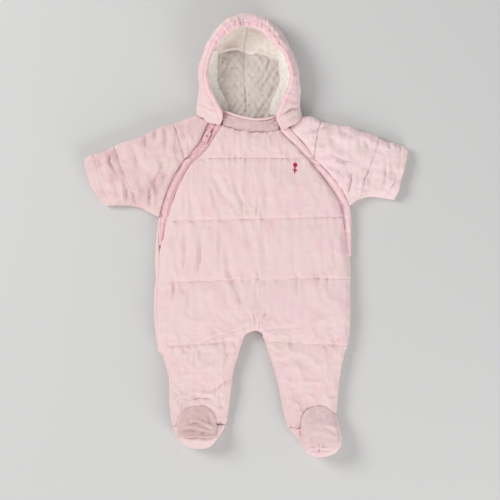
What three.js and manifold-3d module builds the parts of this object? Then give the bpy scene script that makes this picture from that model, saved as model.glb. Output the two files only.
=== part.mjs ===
// Baby snowsuit with hood and feet, laid flat on its back, seen from above.
// Millimetres. X runs across the suit, Y towards the hood, Z up from the surface it lies on.
// Right and left are the wearer's, so the wearer's right is at negative X.

import * as THREE from 'three';
import Module from 'manifold-3d';

// Driving dimensions
const SEAM_GAP = 0.3;
const BACK_WALL = 8;
const FRONT_FLOOR = BACK_WALL + SEAM_GAP;
const TORSO_HEIGHT = 22.5;
const LEG_HEIGHT = 21.5;
const QUILT_DEPTH = 3.2;
const UNDERSIDE_TUCK = 2.2;
const TUCK_SHARE = 0.4;
const TAPE_THICKNESS = 1.8;
const PLACKET_TOP = 16.4;
const PLACKET_THICKNESS = 2.2;
const SLEEVE_LAYER = 7;
const SLEEVE_SLOT = 1.2;
const HOOD_WALL = 6.5;
const LINING_WALL = 2.8;
const FACING_WALL = 2.4;
const BAND_WALL = 3.4;
const VAMP_WALL = 5.5;
const SOLE_WALL = 6;

// Least spread of two rim edges when a sharp corner is drawn in
const LEAST_SPREAD = 0.45;

// Colours and finish
const PINK_CLOTH = 0xe9cfce;
const STRIP_CLOTH = 0xeac3c8;
const LINING_CLOTH = 0xcbbdb3;
const FLEECE = 0xe9e2d3;
const TAPE_PINK = 0xe2b4bc;
const PAINTED_METAL = 0xdfa3ae;
const CLOTH_ROUGHNESS = 0.95;
const METAL_ROUGHNESS = 0.4;
const METAL_METALNESS = 0.3;

// A patch of cloth: points shared between its four-sided cells
class Patch {
  constructor() {
    this.points = [];
    this.numbers = new Map();
    this.cells = [];
  }

  point(x, y, z) {
    const key = [x, y, z].map((value) => Math.round(value * 1000)).join(' ');
    if (!this.numbers.has(key)) {
      this.numbers.set(key, this.points.length);
      this.points.push(new THREE.Vector3(x, y, z));
    }
    return this.numbers.get(key);
  }

  // rows of [x, y, z], row after row downwards and each from left to right, seen from outside;
  // mirrored turns round rows that run from right to left
  grid(rows, mirrored = false, keep = () => true) {
    const ids = rows.map((row) => row.map((place) => this.point(...place)));
    for (let i = 0; i + 1 < ids.length; i += 1) {
      for (let j = 0; j + 1 < ids[i].length; j += 1) {
        if (keep(i, j)) {
          const cell = [ids[i][j], ids[i + 1][j], ids[i + 1][j + 1], ids[i][j + 1]];
          this.cells.push(mirrored ? cell.reverse() : cell);
        }
      }
    }
    return this;
  }

  // edges that only one cell has, as start -> end
  rim() {
    const used = new Set();
    for (const cell of this.cells) {
      cell.forEach((from, k) => used.add(`${from} ${cell[(k + 1) % cell.length]}`));
    }
    const next = new Map();
    for (const key of used) {
      const [from, to] = key.split(' ').map(Number);
      if (!used.has(`${to} ${from}`)) {
        next.set(from, to);
      }
    }
    return next;
  }

  // outward direction at every point
  normals() {
    const sums = this.points.map(() => new THREE.Vector3());
    for (const [a, b, c, d] of this.cells) {
      const across = this.points[c].clone().sub(this.points[a]);
      const along = this.points[d].clone().sub(this.points[b]);
      const normal = across.cross(along).normalize();
      [a, b, c, d].forEach((id) => sums[id].add(normal));
    }
    return sums.map((sum) => sum.normalize());
  }

  // direction that moves each rim point one unit into the patch, square to both its rim edges
  inwards(flat) {
    const next = this.rim();
    const normals = this.normals();
    const up = new THREE.Vector3(0, 0, 1);
    const sides = new Map();
    for (const [from, to] of next) {
      const edge = this.points[to].clone().sub(this.points[from]);
      if (flat) {
        edge.z = 0;
      }
      for (const id of [from, to]) {
        const side = (flat ? up : normals[id]).clone().cross(edge).normalize();
        sides.set(id, [...(sides.get(id) ?? []), side]);
      }
    }
    const result = new Map();
    for (const [id, [first, second]] of sides) {
      const spread = Math.max(LEAST_SPREAD, 1 + first.dot(second));
      result.set(id, first.clone().add(second).divideScalar(spread));
    }
    return result;
  }
}

// One closed body out of triangles of points, turned so that its faces look outwards
function closedGeometry(triangles) {
  const numbers = new Map();
  const places = [];
  const index = [];
  for (const triangle of triangles) {
    const ids = triangle.map((place) => {
      const key = place.toArray().map((value) => Math.round(value * 1000)).join(' ');
      if (!numbers.has(key)) {
        numbers.set(key, places.length / 3);
        places.push(...place.toArray());
      }
      return numbers.get(key);
    });
    if (new Set(ids).size === 3) {
      index.push(...ids);
    }
  }
  const geometry = new THREE.BufferGeometry();
  geometry.setAttribute('position', new THREE.Float32BufferAttribute(places, 3));
  geometry.setIndex(volumeOf(places, index) < 0 ? index.reverse() : index);
  geometry.computeVertexNormals();
  return geometry;
}

function volumeOf(places, index) {
  let volume = 0;
  const corner = (k) => new THREE.Vector3().fromArray(places, index[k] * 3);
  for (let k = 0; k < index.length; k += 3) {
    volume += corner(k).dot(corner(k + 1).cross(corner(k + 2))) / 6;
  }
  return volume;
}

// Seam allowance: rim points of the seen side drawn in by half the seam gap
function drawnIn(patch, flat) {
  const moves = patch.inwards(flat);
  return patch.points.map((place, id) => {
    const move = moves.get(id);
    return move ? place.clone().addScaledVector(move, SEAM_GAP / 2) : place.clone();
  });
}

function cellTriangles(cells, points, reverse = false) {
  return cells.flatMap(([a, b, c, d]) => {
    const [p, q, r, s] = [a, b, c, d].map((id) => points[id]);
    return reverse ? [[r, q, p], [s, r, p]] : [[p, q, r], [p, r, s]];
  });
}

function rimTriangles(patch, seen, under) {
  return [...patch.rim()].flatMap(([from, to]) => [
    [seen[to], seen[from], under[from]],
    [seen[to], under[from], under[to]],
  ]);
}

// Cloth lying on a flat underside at height floor, its lower edge tucked in
function clothOnFloor(patch, floor, tuck = 0) {
  const seen = drawnIn(patch, true);
  const moves = patch.inwards(true);
  const next = patch.rim();
  const loop = [[...next.keys()][0]];
  while (next.get(loop[loop.length - 1]) !== loop[0]) {
    loop.push(next.get(loop[loop.length - 1]));
  }
  const under = seen.map((place) => place.clone().setZ(floor));
  loop.forEach((id, k) => {
    const before = seen[loop[(k + loop.length - 1) % loop.length]];
    const after = seen[loop[(k + 1) % loop.length]];
    const room = Math.min(seen[id].distanceTo(before), seen[id].distanceTo(after));
    const shift = moves.get(id).clone().setZ(0);
    under[id].addScaledVector(shift, Math.min(tuck, room * TUCK_SHARE));
  });
  const outline = loop.map((id) => new THREE.Vector2(under[id].x, under[id].y));
  const bottom = THREE.ShapeUtils.triangulateShape(outline, []).map((face) => {
    const corners = face.map((k) => under[loop[k]]);
    const turn = corners[1].clone().sub(corners[0]).cross(corners[2].clone().sub(corners[0]));
    return turn.z > 0 ? corners.reverse() : corners;
  });
  return closedGeometry([
    ...cellTriangles(patch.cells, seen),
    ...bottom,
    ...rimTriangles(patch, seen, under),
  ]);
}

// Cloth of one thickness straight down from its seen side
function clothHung(patch, thickness) {
  const seen = drawnIn(patch, true);
  const under = seen.map((place) => place.clone().add(new THREE.Vector3(0, 0, -thickness)));
  return clothBetween(patch, seen, under);
}

// Cloth between its seen side and its inner side
function clothBetween(patch, seen, under) {
  return closedGeometry([
    ...cellTriangles(patch.cells, seen),
    ...cellTriangles(patch.cells, under, true),
    ...rimTriangles(patch, seen, under),
  ]);
}

const mix = (from, to, share) => from + (to - from) * share;
const mixPoint = (from, to, share) => from.map((value, k) => mix(value, to[k], share));

// height lost at a distance from a rolled edge, 1 at the edge and 0 at the roll's width
const rollOff = (distance, width) => {
  const share = Math.min(distance / width, 1);
  return 1 - Math.sqrt(1 - (1 - share) ** 2);
};

// Places across a panel as shares of its width, close together at the rolled edges
const ACROSS_HALF = [0, 0.03, 0.085, 0.18, 0.33, 0.5, 0.67, 0.82, 0.915, 0.97, 1];

// The front panel's rows from the neck seam to the crotch.
// right: seam on the wearer's right, left: seam on the wearer's left, sag: dip of the row's middle,
// rightZ, leftZ: height of the seam edges, puff: height over the plain panel, -1 in a quilting seam
const FRONT_ROWS = [
  { right: [-37, 173], left: [52, 166], sag: 7, rightZ: 16.5, leftZ: 16.5, puff: -0.8 },
  { right: [-47, 160], left: [63, 154], sag: 5, rightZ: 16.5, leftZ: 16.5, puff: 0.4 },
  { right: [-54, 149], left: [75, 143], sag: 3, rightZ: 16.5, leftZ: 16.5, puff: 0.7 },
  { right: [-61, 137], left: [84, 132], sag: 1, rightZ: 16.5, leftZ: 16.5, puff: 0.4 },
  { right: [-72, 126], left: [89, 126], sag: 0, rightZ: 16.5, leftZ: 16.5, puff: 0 },
  { right: [-77, 121], left: [93, 121], sag: 0, rightZ: 15.5, leftZ: 15.5, puff: -1 },
  { right: [-83, 116], left: [98, 116], sag: 0, rightZ: 16.5, leftZ: 16.5, puff: 0 },
  { right: [-90, 109], left: [105, 109], sag: 0, rightZ: 16.5, leftZ: 16.5, puff: 0.5 },
  { right: [-102, 88], left: [123, 88], sag: 0, rightZ: 16.5, leftZ: 16.5, puff: 1 },
  { right: [-110, 70], left: [136, 70], sag: 0, rightZ: 16, leftZ: 16, puff: 1 },
  { right: [-117, 50], left: [146, 52], sag: 0, rightZ: 15.5, leftZ: 15.5, puff: 0.6 },
  { right: [-121, 35], left: [149, 41], sag: 0, rightZ: 15, leftZ: 15, puff: 0.3 },
  { right: [-123, 28], left: [150, 35], sag: 0, rightZ: 14.5, leftZ: 14.5, puff: 0 },
  { right: [-124, 23], left: [151, 30], sag: 0, rightZ: 14, leftZ: 14, puff: -1 },
  { right: [-126, 18], left: [152, 25], sag: 0, rightZ: 14.5, leftZ: 14.5, puff: 0 },
  { right: [-129, 5], left: [154, 8], sag: 0, rightZ: 14.5, leftZ: 14, puff: 0.6 },
  { right: [-132, -14], left: [156, -14], sag: 0, rightZ: 14.5, leftZ: 13.5, puff: 1 },
  { right: [-133, -30], left: [158, -30], sag: 0, rightZ: 14.5, leftZ: 13, puff: 0.9 },
  { right: [-133, -50], left: [160, -46], sag: 0, rightZ: 14.5, leftZ: 12.5, puff: 0.5 },
  { right: [-135, -69], left: [161, -60], sag: -2, rightZ: 14.5, leftZ: 12.5, puff: 0 },
  { right: [-136, -74], left: [161, -66], sag: -2, rightZ: 13.5, leftZ: 11.5, puff: -1 },
  { right: [-136, -80], left: [161, -72], sag: -2, rightZ: 14.5, leftZ: 12.5, puff: 0 },
  { right: [-137, -94], left: [162, -90], sag: -1, rightZ: 14.5, leftZ: 12.5, puff: 0.6 },
  { right: [-138, -112], left: [162, -110], sag: 0, rightZ: 14.5, leftZ: 12.5, puff: 0.8 },
  { right: [-137, -130], left: [162, -130], sag: 0, rightZ: 14.5, leftZ: 12.5, puff: 0.5 },
];
const CROTCH = [15, -146];
const CROTCH_HEIGHT = 22.8;
const CROTCH_RIGHT_SIDE = [-136, -148, 14.5];
const CROTCH_LEFT_SIDE = [161, -149, 12.5];
const PUFF_HEIGHT = 1.8;
const SIDE_ROLL = 20;
const ZIP_EDGE_ROLL = 9;
const NECK_TO_ARMPIT_ROWS = 12;

// Rows of the legs from the crotch to the ankle: outer and inner edge, puff as above
const RIGHT_LEG_ROWS = [
  { outer: [-137, -160], inner: [1, -151], outerZ: 14, innerZ: 16, puff: 0.2 },
  { outer: [-136, -169], inner: [-4.5, -157], outerZ: 13.5, innerZ: 12.5, puff: 0 },
  { outer: [-135, -174], inner: [-7, -163], outerZ: 12.5, innerZ: 11.5, puff: -1 },
  { outer: [-134, -179], inner: [-9, -169], outerZ: 13, innerZ: 12, puff: 0 },
  { outer: [-128, -196], inner: [-14.5, -187], outerZ: 12.5, innerZ: 12, puff: 0.6 },
  { outer: [-122, -214], inner: [-20, -206], outerZ: 12.5, innerZ: 12, puff: 0.8 },
  { outer: [-120, -230], inner: [-23.5, -226], outerZ: 12.5, innerZ: 12, puff: 0.5 },
  { outer: [-120, -245], inner: [-25.5, -244], outerZ: 12.5, innerZ: 12, puff: 0.1 },
];
const LEFT_LEG_ROWS = [
  { outer: [159, -160], inner: [24.5, -151], outerZ: 12.5, innerZ: 16, puff: 0.2 },
  { outer: [158, -165], inner: [27.5, -159], outerZ: 12.5, innerZ: 12.5, puff: 0 },
  { outer: [156.5, -170], inner: [29.5, -165], outerZ: 11.5, innerZ: 11.5, puff: -1 },
  { outer: [155, -175], inner: [31.5, -171], outerZ: 12.5, innerZ: 12, puff: 0 },
  { outer: [150.5, -192], inner: [37, -189], outerZ: 12.5, innerZ: 12, puff: 0.6 },
  { outer: [146.5, -212], inner: [43.5, -208], outerZ: 12.5, innerZ: 12, puff: 0.8 },
  { outer: [144.5, -230], inner: [48.5, -228], outerZ: 12.5, innerZ: 12, puff: 0.5 },
  { outer: [142.5, -245], inner: [52.5, -246], outerZ: 12.5, innerZ: 12, puff: 0.1 },
];

// Seam between leg and foot, outer side first: side seam, up one side of the foot's top,
// round its upper end and down the other side
const RIGHT_FOOT_SEAM = [
  { place: [-115.5, -297], z: 12.5 },
  { place: [-109, -297], z: 22 },
  { place: [-107.5, -285], z: 23.5 },
  { place: [-101, -274.5], z: 23 },
  { place: [-88, -265.5], z: 21.5 },
  { place: [-73, -262], z: 20.5 },
  { place: [-58, -266], z: 21.5 },
  { place: [-49.5, -275], z: 23 },
  { place: [-47, -285], z: 23.5 },
  { place: [-46.5, -294], z: 22 },
  { place: [-31.5, -294], z: 12.5 },
];
const LEFT_FOOT_SEAM = [
  { place: [140.5, -277], z: 12.5 },
  { place: [137, -276], z: 19 },
  { place: [133.5, -271.5], z: 21.5 },
  { place: [125, -266], z: 21.5 },
  { place: [114.5, -263.5], z: 20.5 },
  { place: [103, -265.5], z: 21 },
  { place: [93, -271], z: 22 },
  { place: [87, -279], z: 23 },
  { place: [85, -289], z: 24 },
  { place: [84.5, -299.5], z: 23 },
  { place: [65, -299], z: 12.5 },
];
const ANKLE_BLENDS = [0.35, 0.7];
const RIGHT_ANKLE_EDGES = [
  { outer: [-120, -264], inner: [-27.5, -262] },
  { outer: [-118.5, -281], inner: [-29.5, -279] },
];
const LEFT_ANKLE_EDGES = [
  { outer: [141.5, -257], inner: [56, -266] },
  { outer: [141, -267], inner: [60, -284] },
];

// Height of the front over one of its rows, rolled off towards the edge heights at both sides
function frontHeight(row, height, distanceRight, distanceLeft, roll, edges) {
  const top = height + (row.puff > 0 ? row.puff * PUFF_HEIGHT : row.puff * QUILT_DEPTH);
  const right = (top - edges[0]) * rollOff(distanceRight, roll);
  const left = (top - edges[1]) * rollOff(distanceLeft, roll);
  return top - right - left;
}

// A place across the front panel in plan
function placeInRow(row, share) {
  const [x, y] = mixPoint(row.right, row.left, share);
  return [x, y - row.sag * 4 * share * (1 - share)];
}

function torsoRow(row, number) {
  const width = row.left[0] - row.right[0];
  const middle = (CROTCH[0] - row.right[0]) / width;
  const shares = [
    ...ACROSS_HALF.map((share) => share * middle),
    ...ACROSS_HALF.slice(1).map((share) => middle + share * (1 - middle)),
  ];
  const roll = number < NECK_TO_ARMPIT_ROWS ? ZIP_EDGE_ROLL : SIDE_ROLL;
  return shares.map((share) => {
    const edges = [row.rightZ, row.leftZ];
    const z = frontHeight(row, TORSO_HEIGHT, share * width, (1 - share) * width, roll, edges);
    return [...placeInRow(row, share), z];
  });
}

// The row through the crotch point, shared by torso and legs: its right half, then its left half
function crotchRow() {
  const half = (side) => ACROSS_HALF.map((share) => {
    const [x, y] = mixPoint(side.slice(0, 2), CROTCH, share);
    const lost = rollOff(share * Math.abs(CROTCH[0] - side[0]), SIDE_ROLL);
    return [x, y, CROTCH_HEIGHT - (CROTCH_HEIGHT - side[2]) * lost];
  });
  return { right: half(CROTCH_RIGHT_SIDE), left: half(CROTCH_LEFT_SIDE).reverse() };
}

function legRows(rows, first, seam, ankleEdges) {
  const straight = rows.map((row) => ACROSS_HALF.map((share) => {
    const [x, y] = mixPoint(row.outer, row.inner, share);
    const width = Math.abs(row.inner[0] - row.outer[0]);
    const edges = [row.outerZ, row.innerZ];
    const z = frontHeight(row, LEG_HEIGHT, share * width, (1 - share) * width, SIDE_ROLL, edges);
    return [x, y, z];
  }));
  const last = straight[straight.length - 1];
  const end = seam.map(({ place, z }) => [...place, z]);
  const ankle = ANKLE_BLENDS.map((blend, k) => last.map((place, j) => {
    const point = mixPoint(place, end[j], blend);
    if (j === 0) {
      return [...ankleEdges[k].outer, point[2]];
    }
    if (j === last.length - 1) {
      return [...ankleEdges[k].inner, point[2]];
    }
    return point;
  }));
  return [first, ...straight, ...ankle, end];
}

const crotch = crotchRow();
const torsoRows = FRONT_ROWS.map(torsoRow);
const crotchWhole = [...crotch.right, ...crotch.left.slice(1)];
const rightLeg = legRows(RIGHT_LEG_ROWS, crotch.right, RIGHT_FOOT_SEAM, RIGHT_ANKLE_EDGES);
const crotchFromLeft = [...crotch.left].reverse();
const leftLeg = legRows(LEFT_LEG_ROWS, crotchFromLeft, LEFT_FOOT_SEAM, LEFT_ANKLE_EDGES)
  .map((row) => row.reverse());

function frontPanel() {
  const patch = new Patch();
  patch.grid([...torsoRows, crotchWhole]).grid(rightLeg).grid(leftLeg);
  return clothOnFloor(patch, FRONT_FLOOR);
}

// Where each zip row meets the sleeve and, below the armpit, the back panel's rim
const RIGHT_ZIP_OUTER = [
  [-60, 180], [-65.5, 163], [-70, 152], [-77, 142], [-86, 132], [-91, 126], [-96, 120],
  [-102, 112], [-114, 91], [-123, 73], [-130, 52], [-134, 36], [-136, 28],
  [-136, 22], [-135.5, 16], [-136, 3], [-136, -14],
];
const LEFT_ZIP_OUTER = [
  [66, 169], [73, 161], [84, 150], [94, 138.5], [99, 131.5], [104, 125], [109, 118.5],
  [116, 111], [136, 91], [148, 74], [157.5, 56], [160.5, 46], [161.5, 38],
  [162.5, 31], [163, 24], [162.5, 6], [162.5, -14], [162.5, -30],
];

// Back panel below the armpits: its outline, row for row with the front panel
const RIGHT_BACK_SIDE = [
  [-137.5, 23], [-139, 16], [-141, 3], [-143, -14], [-144, -30], [-143.5, -50], [-142.5, -69],
  [-143.5, -74], [-144.5, -80], [-145.5, -94], [-146, -112], [-146, -130], [-143.5, -148],
];
const LEFT_BACK_SIDE = [
  [163, 31], [163.5, 24], [163, 6], [163, -14], [163, -30], [163.5, -46], [163.5, -60],
  [163.5, -66], [163.5, -72], [163.5, -90], [163.5, -110], [163.5, -130], [162.5, -149],
];
const RIGHT_BACK_LEG = [
  { outer: [-142, -160], seam: [-137, -160], inner: [2, -151], rise: 0.9 },
  { outer: [-139.8, -169], seam: [-136, -169], inner: [-3.5, -157], rise: 0.7 },
  { outer: [-138.4, -174], seam: [-135, -174], inner: [-6, -163], rise: 0.5 },
  { outer: [-137, -179], seam: [-134, -179], inner: [-8, -169], rise: 0.3 },
  { outer: [-130, -196], seam: [-128.3, -196], inner: [-13, -187], rise: 0 },
  { outer: [-123, -214], inner: [-18.5, -206] },
  { outer: [-121.5, -230], inner: [-22, -226] },
  { outer: [-121.5, -245], inner: [-24, -244] },
  { outer: [-121, -264], inner: [-26.5, -262] },
  { outer: [-119.5, -281], inner: [-28.5, -279] },
  { outer: [-116, -296], inner: [-30.5, -292.8] },
  { outer: [-108.5, -296.6], inner: [-38.3, -293.5] },
  { outer: [-106, -304], inner: [-44.8, -302.5] },
  { outer: [-101, -313], inner: [-51.8, -311.5] },
  { outer: [-93.7, -319], inner: [-59.2, -319.2] },
  { outer: [-84, -323.8], inner: [-68, -324.6] },
];
const LEFT_BACK_LEG = [
  { outer: [160.5, -160], inner: [23.5, -151] },
  { outer: [159.5, -165], inner: [26.5, -159] },
  { outer: [158, -170], inner: [28.5, -165] },
  { outer: [156.5, -175], inner: [30.5, -171] },
  { outer: [152, -192], inner: [36, -189] },
  { outer: [148, -212], inner: [42.5, -208] },
  { outer: [146, -230], inner: [47.5, -228] },
  { outer: [144, -245], inner: [51.5, -246] },
  { outer: [143, -257], inner: [55, -266] },
  { outer: [142, -276], inner: [59, -284] },
  { outer: [135, -278.5], inner: [64.5, -298] },
  { outer: [136.5, -293], inner: [74, -299.5] },
  { outer: [140.5, -307], inner: [84, -311] },
  { outer: [141, -322], inner: [92, -322] },
  { outer: [132, -332], inner: [96, -331] },
  { outer: [121, -336.5], inner: [107, -337] },
];
const BACK_EDGE_Z = 5;
const RIM_PROFILE = [
  { share: 0, z: BACK_EDGE_Z },
  { share: 0.3, z: 10.5 },
  { share: 0.62, z: 13.2 },
  { share: 0.96, z: 12.6 },
];
const RIM_STEP = 0.45;
const RIM_START = [0, 0.7];
const BACK_INNER = [0.3, 0.65, 0.97];
const RIM_FOOT = 0.2;
const BEYOND_SEAM = 1.15;
const EDGE_STRIP = { right: 0.04, left: 0.03, leg: 0.05 };

// Across the back panel: outer edge, the raised rim where it shows beside the front, then flat cloth
function backHalf(outer, seam, inner, rise, innerZ, outerZ = BACK_EDGE_Z) {
  const rim = rise !== undefined;
  const edge = rim ? mixPoint(seam, outer, RIM_STEP / Math.abs(seam[0] - outer[0])) : seam;
  const raised = RIM_PROFILE.map(({ share, z }, k) => {
    const low = k === 0 ? outerZ : BACK_WALL;
    return [...mixPoint(outer, edge, share), rim ? mix(low, z, rise) : low];
  });
  const start = rim ? mixPoint(edge, seam, RIM_FOOT) : mixPoint(outer, seam, BEYOND_SEAM);
  const rest = BACK_INNER.map((share) => [...mixPoint(start, inner, share), BACK_WALL]);
  return [...raised, [...start, BACK_WALL], ...rest, [...inner, innerZ]];
}

const NECKLINE_RISE = 8;

function backPanel() {
  const last = FRONT_ROWS.length;
  const rows = [...FRONT_ROWS, { right: CROTCH_RIGHT_SIDE.slice(0, 2) }];
  const armpit = NECK_TO_ARMPIT_ROWS + 1;
  const halves = rows.map((row, k) => {
    const above = k < armpit;
    const right = above ? RIGHT_ZIP_OUTER[k] : RIGHT_BACK_SIDE[k - armpit];
    const left = above ? LEFT_ZIP_OUTER[k] : LEFT_BACK_SIDE[k - armpit];
    const share = (CROTCH[0] - right[0]) / (left[0] - right[0]);
    const middle = k === last ? CROTCH : mixPoint(right, left, share);
    const rise = k === 0 ? NECKLINE_RISE : 0;
    const lifted = [middle[0], middle[1] + rise];
    const beside = k < RIGHT_ZIP_OUTER.length ? RIGHT_ZIP_OUTER[k] : row.right;
    const rightSeam = above ? mixPoint(right, left, EDGE_STRIP.right) : beside;
    const leftSeam = mixPoint(left, right, EDGE_STRIP.left);
    const edgeZ = above ? BACK_WALL : BACK_EDGE_Z;
    const rim = above ? undefined : RIM_START[k - armpit] ?? 1;
    return [
      backHalf(right, rightSeam, lifted, rim, BACK_WALL, edgeZ),
      backHalf(left, leftSeam, lifted, undefined, BACK_WALL, edgeZ).reverse(),
    ];
  });
  const torso = halves.map(([right, left]) => [...right, ...left.slice(1)]);
  const leg = (table) => table.map(({ outer, seam, inner, rise }) => {
    const start = seam ?? mixPoint(outer, inner, EDGE_STRIP.leg);
    return backHalf(outer, start, inner, rise, BACK_EDGE_Z);
  });
  const right = [halves[last][0], ...leg(RIGHT_BACK_LEG)];
  const left = [halves[last][1], ...leg(LEFT_BACK_LEG).map((row) => row.reverse())];
  const patch = new Patch();
  patch.grid(torso).grid(right).grid(left);
  return clothOnFloor(patch, 0, UNDERSIDE_TUCK);
}

// Sleeve stations from the neck to the cuff: fold is the upper outline, seam the zip side or underarm,
// bow pushes the station's middle outwards, puff as on the front panel
const RIGHT_SLEEVE = [
  { fold: [-79, 189], puff: -0.5, bow: 0 },
  { fold: [-84, 187.3], puff: 0.3, bow: 0 },
  { fold: [-89.5, 185.5], puff: 0.6, bow: 0 },
  { fold: [-95.5, 183.5], puff: 0.5, bow: 0 },
  { fold: [-102, 181.2], puff: 0.2, bow: 0 },
  { fold: [-108, 179.2], puff: 0, bow: 0 },
  { fold: [-114, 177], puff: -1, bow: 0 },
  { fold: [-121, 175], puff: 0.2, bow: 0 },
  { fold: [-131, 172], puff: 0.6, bow: 0 },
  { fold: [-141, 167.7], puff: 0.9, bow: 0 },
  { fold: [-150, 164], puff: 0.9, bow: 0 },
  { fold: [-158, 160.5], puff: 0.7, bow: 0 },
  { fold: [-165, 157.5], puff: 0.5, bow: 0 },
  { fold: [-174, 154], seam: [-148, 34], puff: 0.5, bow: 0 },
  { fold: [-186, 150.3], seam: [-159, 41], puff: 0.4, bow: 0 },
  { fold: [-199, 146], seam: [-170, 44], puff: 0, bow: 0 },
  { fold: [-206, 141.5], seam: [-177, 46], puff: -1, bow: 0 },
  { fold: [-213, 137.5], seam: [-184, 46.5], puff: 0, bow: 0.5 },
  { fold: [-226, 131.5], seam: [-198, 47], puff: 0.7, bow: 2 },
  { fold: [-239, 129.5], seam: [-210, 47], puff: -0.3, bow: 4 },
  { fold: [-246, 128], seam: [-216, 47], puff: 0.1, bow: 5.5 },
  { fold: [-253.5, 121], seam: [-222.5, 48], puff: -0.3, bow: 6.5 },
];
const LEFT_SLEEVE = [
  { fold: [88, 188], puff: -0.5, bow: 0 },
  { fold: [94, 187.7], puff: 0.3, bow: 0 },
  { fold: [99.5, 187.3], puff: 0.6, bow: 0 },
  { fold: [105, 186], puff: 0.4, bow: 0 },
  { fold: [110.5, 183.5], puff: 0, bow: 0 },
  { fold: [116, 180.5], puff: -1, bow: 0 },
  { fold: [122.5, 178.2], puff: 0, bow: 0 },
  { fold: [131, 176], puff: 0.5, bow: 0 },
  { fold: [142, 174.5], puff: 0.9, bow: 0 },
  { fold: [152, 174.2], puff: 0.9, bow: 0 },
  { fold: [161, 173], puff: 0.7, bow: 0 },
  { fold: [170, 168.5], puff: 0.5, bow: 0 },
  { fold: [181, 164.2], seam: [169, 53], puff: 0.4, bow: 0 },
  { fold: [195, 159.8], seam: [177, 57], puff: 0, bow: 0 },
  { fold: [207.5, 154], seam: [184, 59.5], puff: -1, bow: 0 },
  { fold: [216, 150], seam: [192, 60.8], puff: 0, bow: 0.5 },
  { fold: [227, 146.5], seam: [203, 60.5], puff: 0.7, bow: 1 },
  { fold: [239, 143.8], seam: [214, 58.5], puff: -0.3, bow: 2 },
  { fold: [246.5, 141.5], seam: [222.5, 57], puff: 0.1, bow: 2.5 },
  { fold: [253.5, 136.5], seam: [231.5, 56], puff: -0.3, bow: 2.5 },
];
const SLEEVE_HEIGHT = 19;
const CUFF_HEIGHT = 16.5;
const SLEEVE_FOLD_Z = 8.4;
const SLEEVE_SEAM_Z = 15;
const SLEEVE_FOLD_ROLL = 17;
const SLEEVE_ACROSS = [0, 0.025, 0.09, 0.2, 0.38, 0.58, 0.77, 0.91, 0.975, 1];
const SLOT_ACROSS = [0, 0.35, 0.7, 1];
const SLEEVE_TUCK = 4;
const SLEEVE_PUFF = 1.6;
const SLEEVE_QUILT = 2.6;
const CUFF_STATIONS = 5;

// A sleeve is a flat tube: two layers with a thin slot between them, open at the cuff and the zip side
const SLOT_OVERRUN = 3;
const SLOT_HEM = 7.5;
const SLOT_LATEST = 0.45;

function sleeve(wasm, table, zipOuter, side) {
  const sections = table.map((station, k) => {
    const seam = station.seam ?? zipOuter[k];
    const across = new THREE.Vector2(seam[0] - station.fold[0], seam[1] - station.fold[1]);
    const width = across.length();
    const outward = new THREE.Vector2(side * Math.abs(across.y), -Math.abs(across.x)).normalize();
    const toCuff = Math.max(0, 1 - (table.length - 1 - k) / CUFF_STATIONS);
    const top = mix(SLEEVE_HEIGHT, CUFF_HEIGHT, toCuff);
    const height = top + station.puff * (station.puff > 0 ? SLEEVE_PUFF : SLEEVE_QUILT);
    const seamZ = station.seam ? SLEEVE_FOLD_Z : SLEEVE_SEAM_Z;
    const roll = Math.min(station.seam ? SLEEVE_FOLD_ROLL : ZIP_EDGE_ROLL, width);
    const place = (share) => {
      const bow = station.bow * 4 * share * (1 - share);
      const [x, y] = mixPoint(station.fold, seam, share);
      return [x + outward.x * bow, y + outward.y * bow];
    };
    const foldRoll = Math.min(SLEEVE_FOLD_ROLL, width);
    const zAt = (share) => height
      - (height - SLEEVE_FOLD_Z) * rollOff(share * width, foldRoll)
      - (height - seamZ) * rollOff((1 - share) * width, roll);
    const slotFrom = Math.min(SLOT_LATEST, SLOT_HEM / width);
    const slotTo = station.seam ? 1 - SLOT_HEM / width : 1 + SLOT_OVERRUN / width;
    const slot = SLOT_ACROSS.map((share) => place(mix(slotFrom, slotTo, share)));
    return { top: SLEEVE_ACROSS.map((share) => [...place(share), zAt(share)]), slot, outward };
  });
  const body = new Patch();
  body.grid(sections.map(({ top }) => top), side > 0);
  const cuff = sections[sections.length - 1];
  const beyond = cuff.slot.map(([x, y]) => [
    x + cuff.outward.x * SLOT_OVERRUN,
    y + cuff.outward.y * SLOT_OVERRUN,
  ]);
  const slots = [...sections.slice(1).map(({ slot }) => slot), beyond];
  const roof = slots.map((row) => row.map((place) => [...place, SLEEVE_LAYER + SLEEVE_SLOT]));
  const slab = new Patch();
  slab.grid(roof, side > 0);
  const solid = toSolid(wasm, clothOnFloor(body, 0, SLEEVE_TUCK));
  const hollow = toSolid(wasm, clothOnFloor(slab, SLEEVE_LAYER));
  return fromSolid(solid.subtract(hollow));
}

function toSolid(wasm, geometry) {
  return new wasm.Manifold(new wasm.Mesh({
    numProp: 3,
    vertProperties: new Float32Array(geometry.attributes.position.array),
    triVerts: new Uint32Array(geometry.index.array),
  }));
}

function fromSolid(solid) {
  const mesh = solid.getMesh();
  const geometry = new THREE.BufferGeometry();
  geometry.setAttribute('position', new THREE.Float32BufferAttribute(mesh.vertProperties, 3));
  geometry.setIndex([...mesh.triVerts]);
  geometry.computeVertexNormals();
  return geometry;
}

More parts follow.
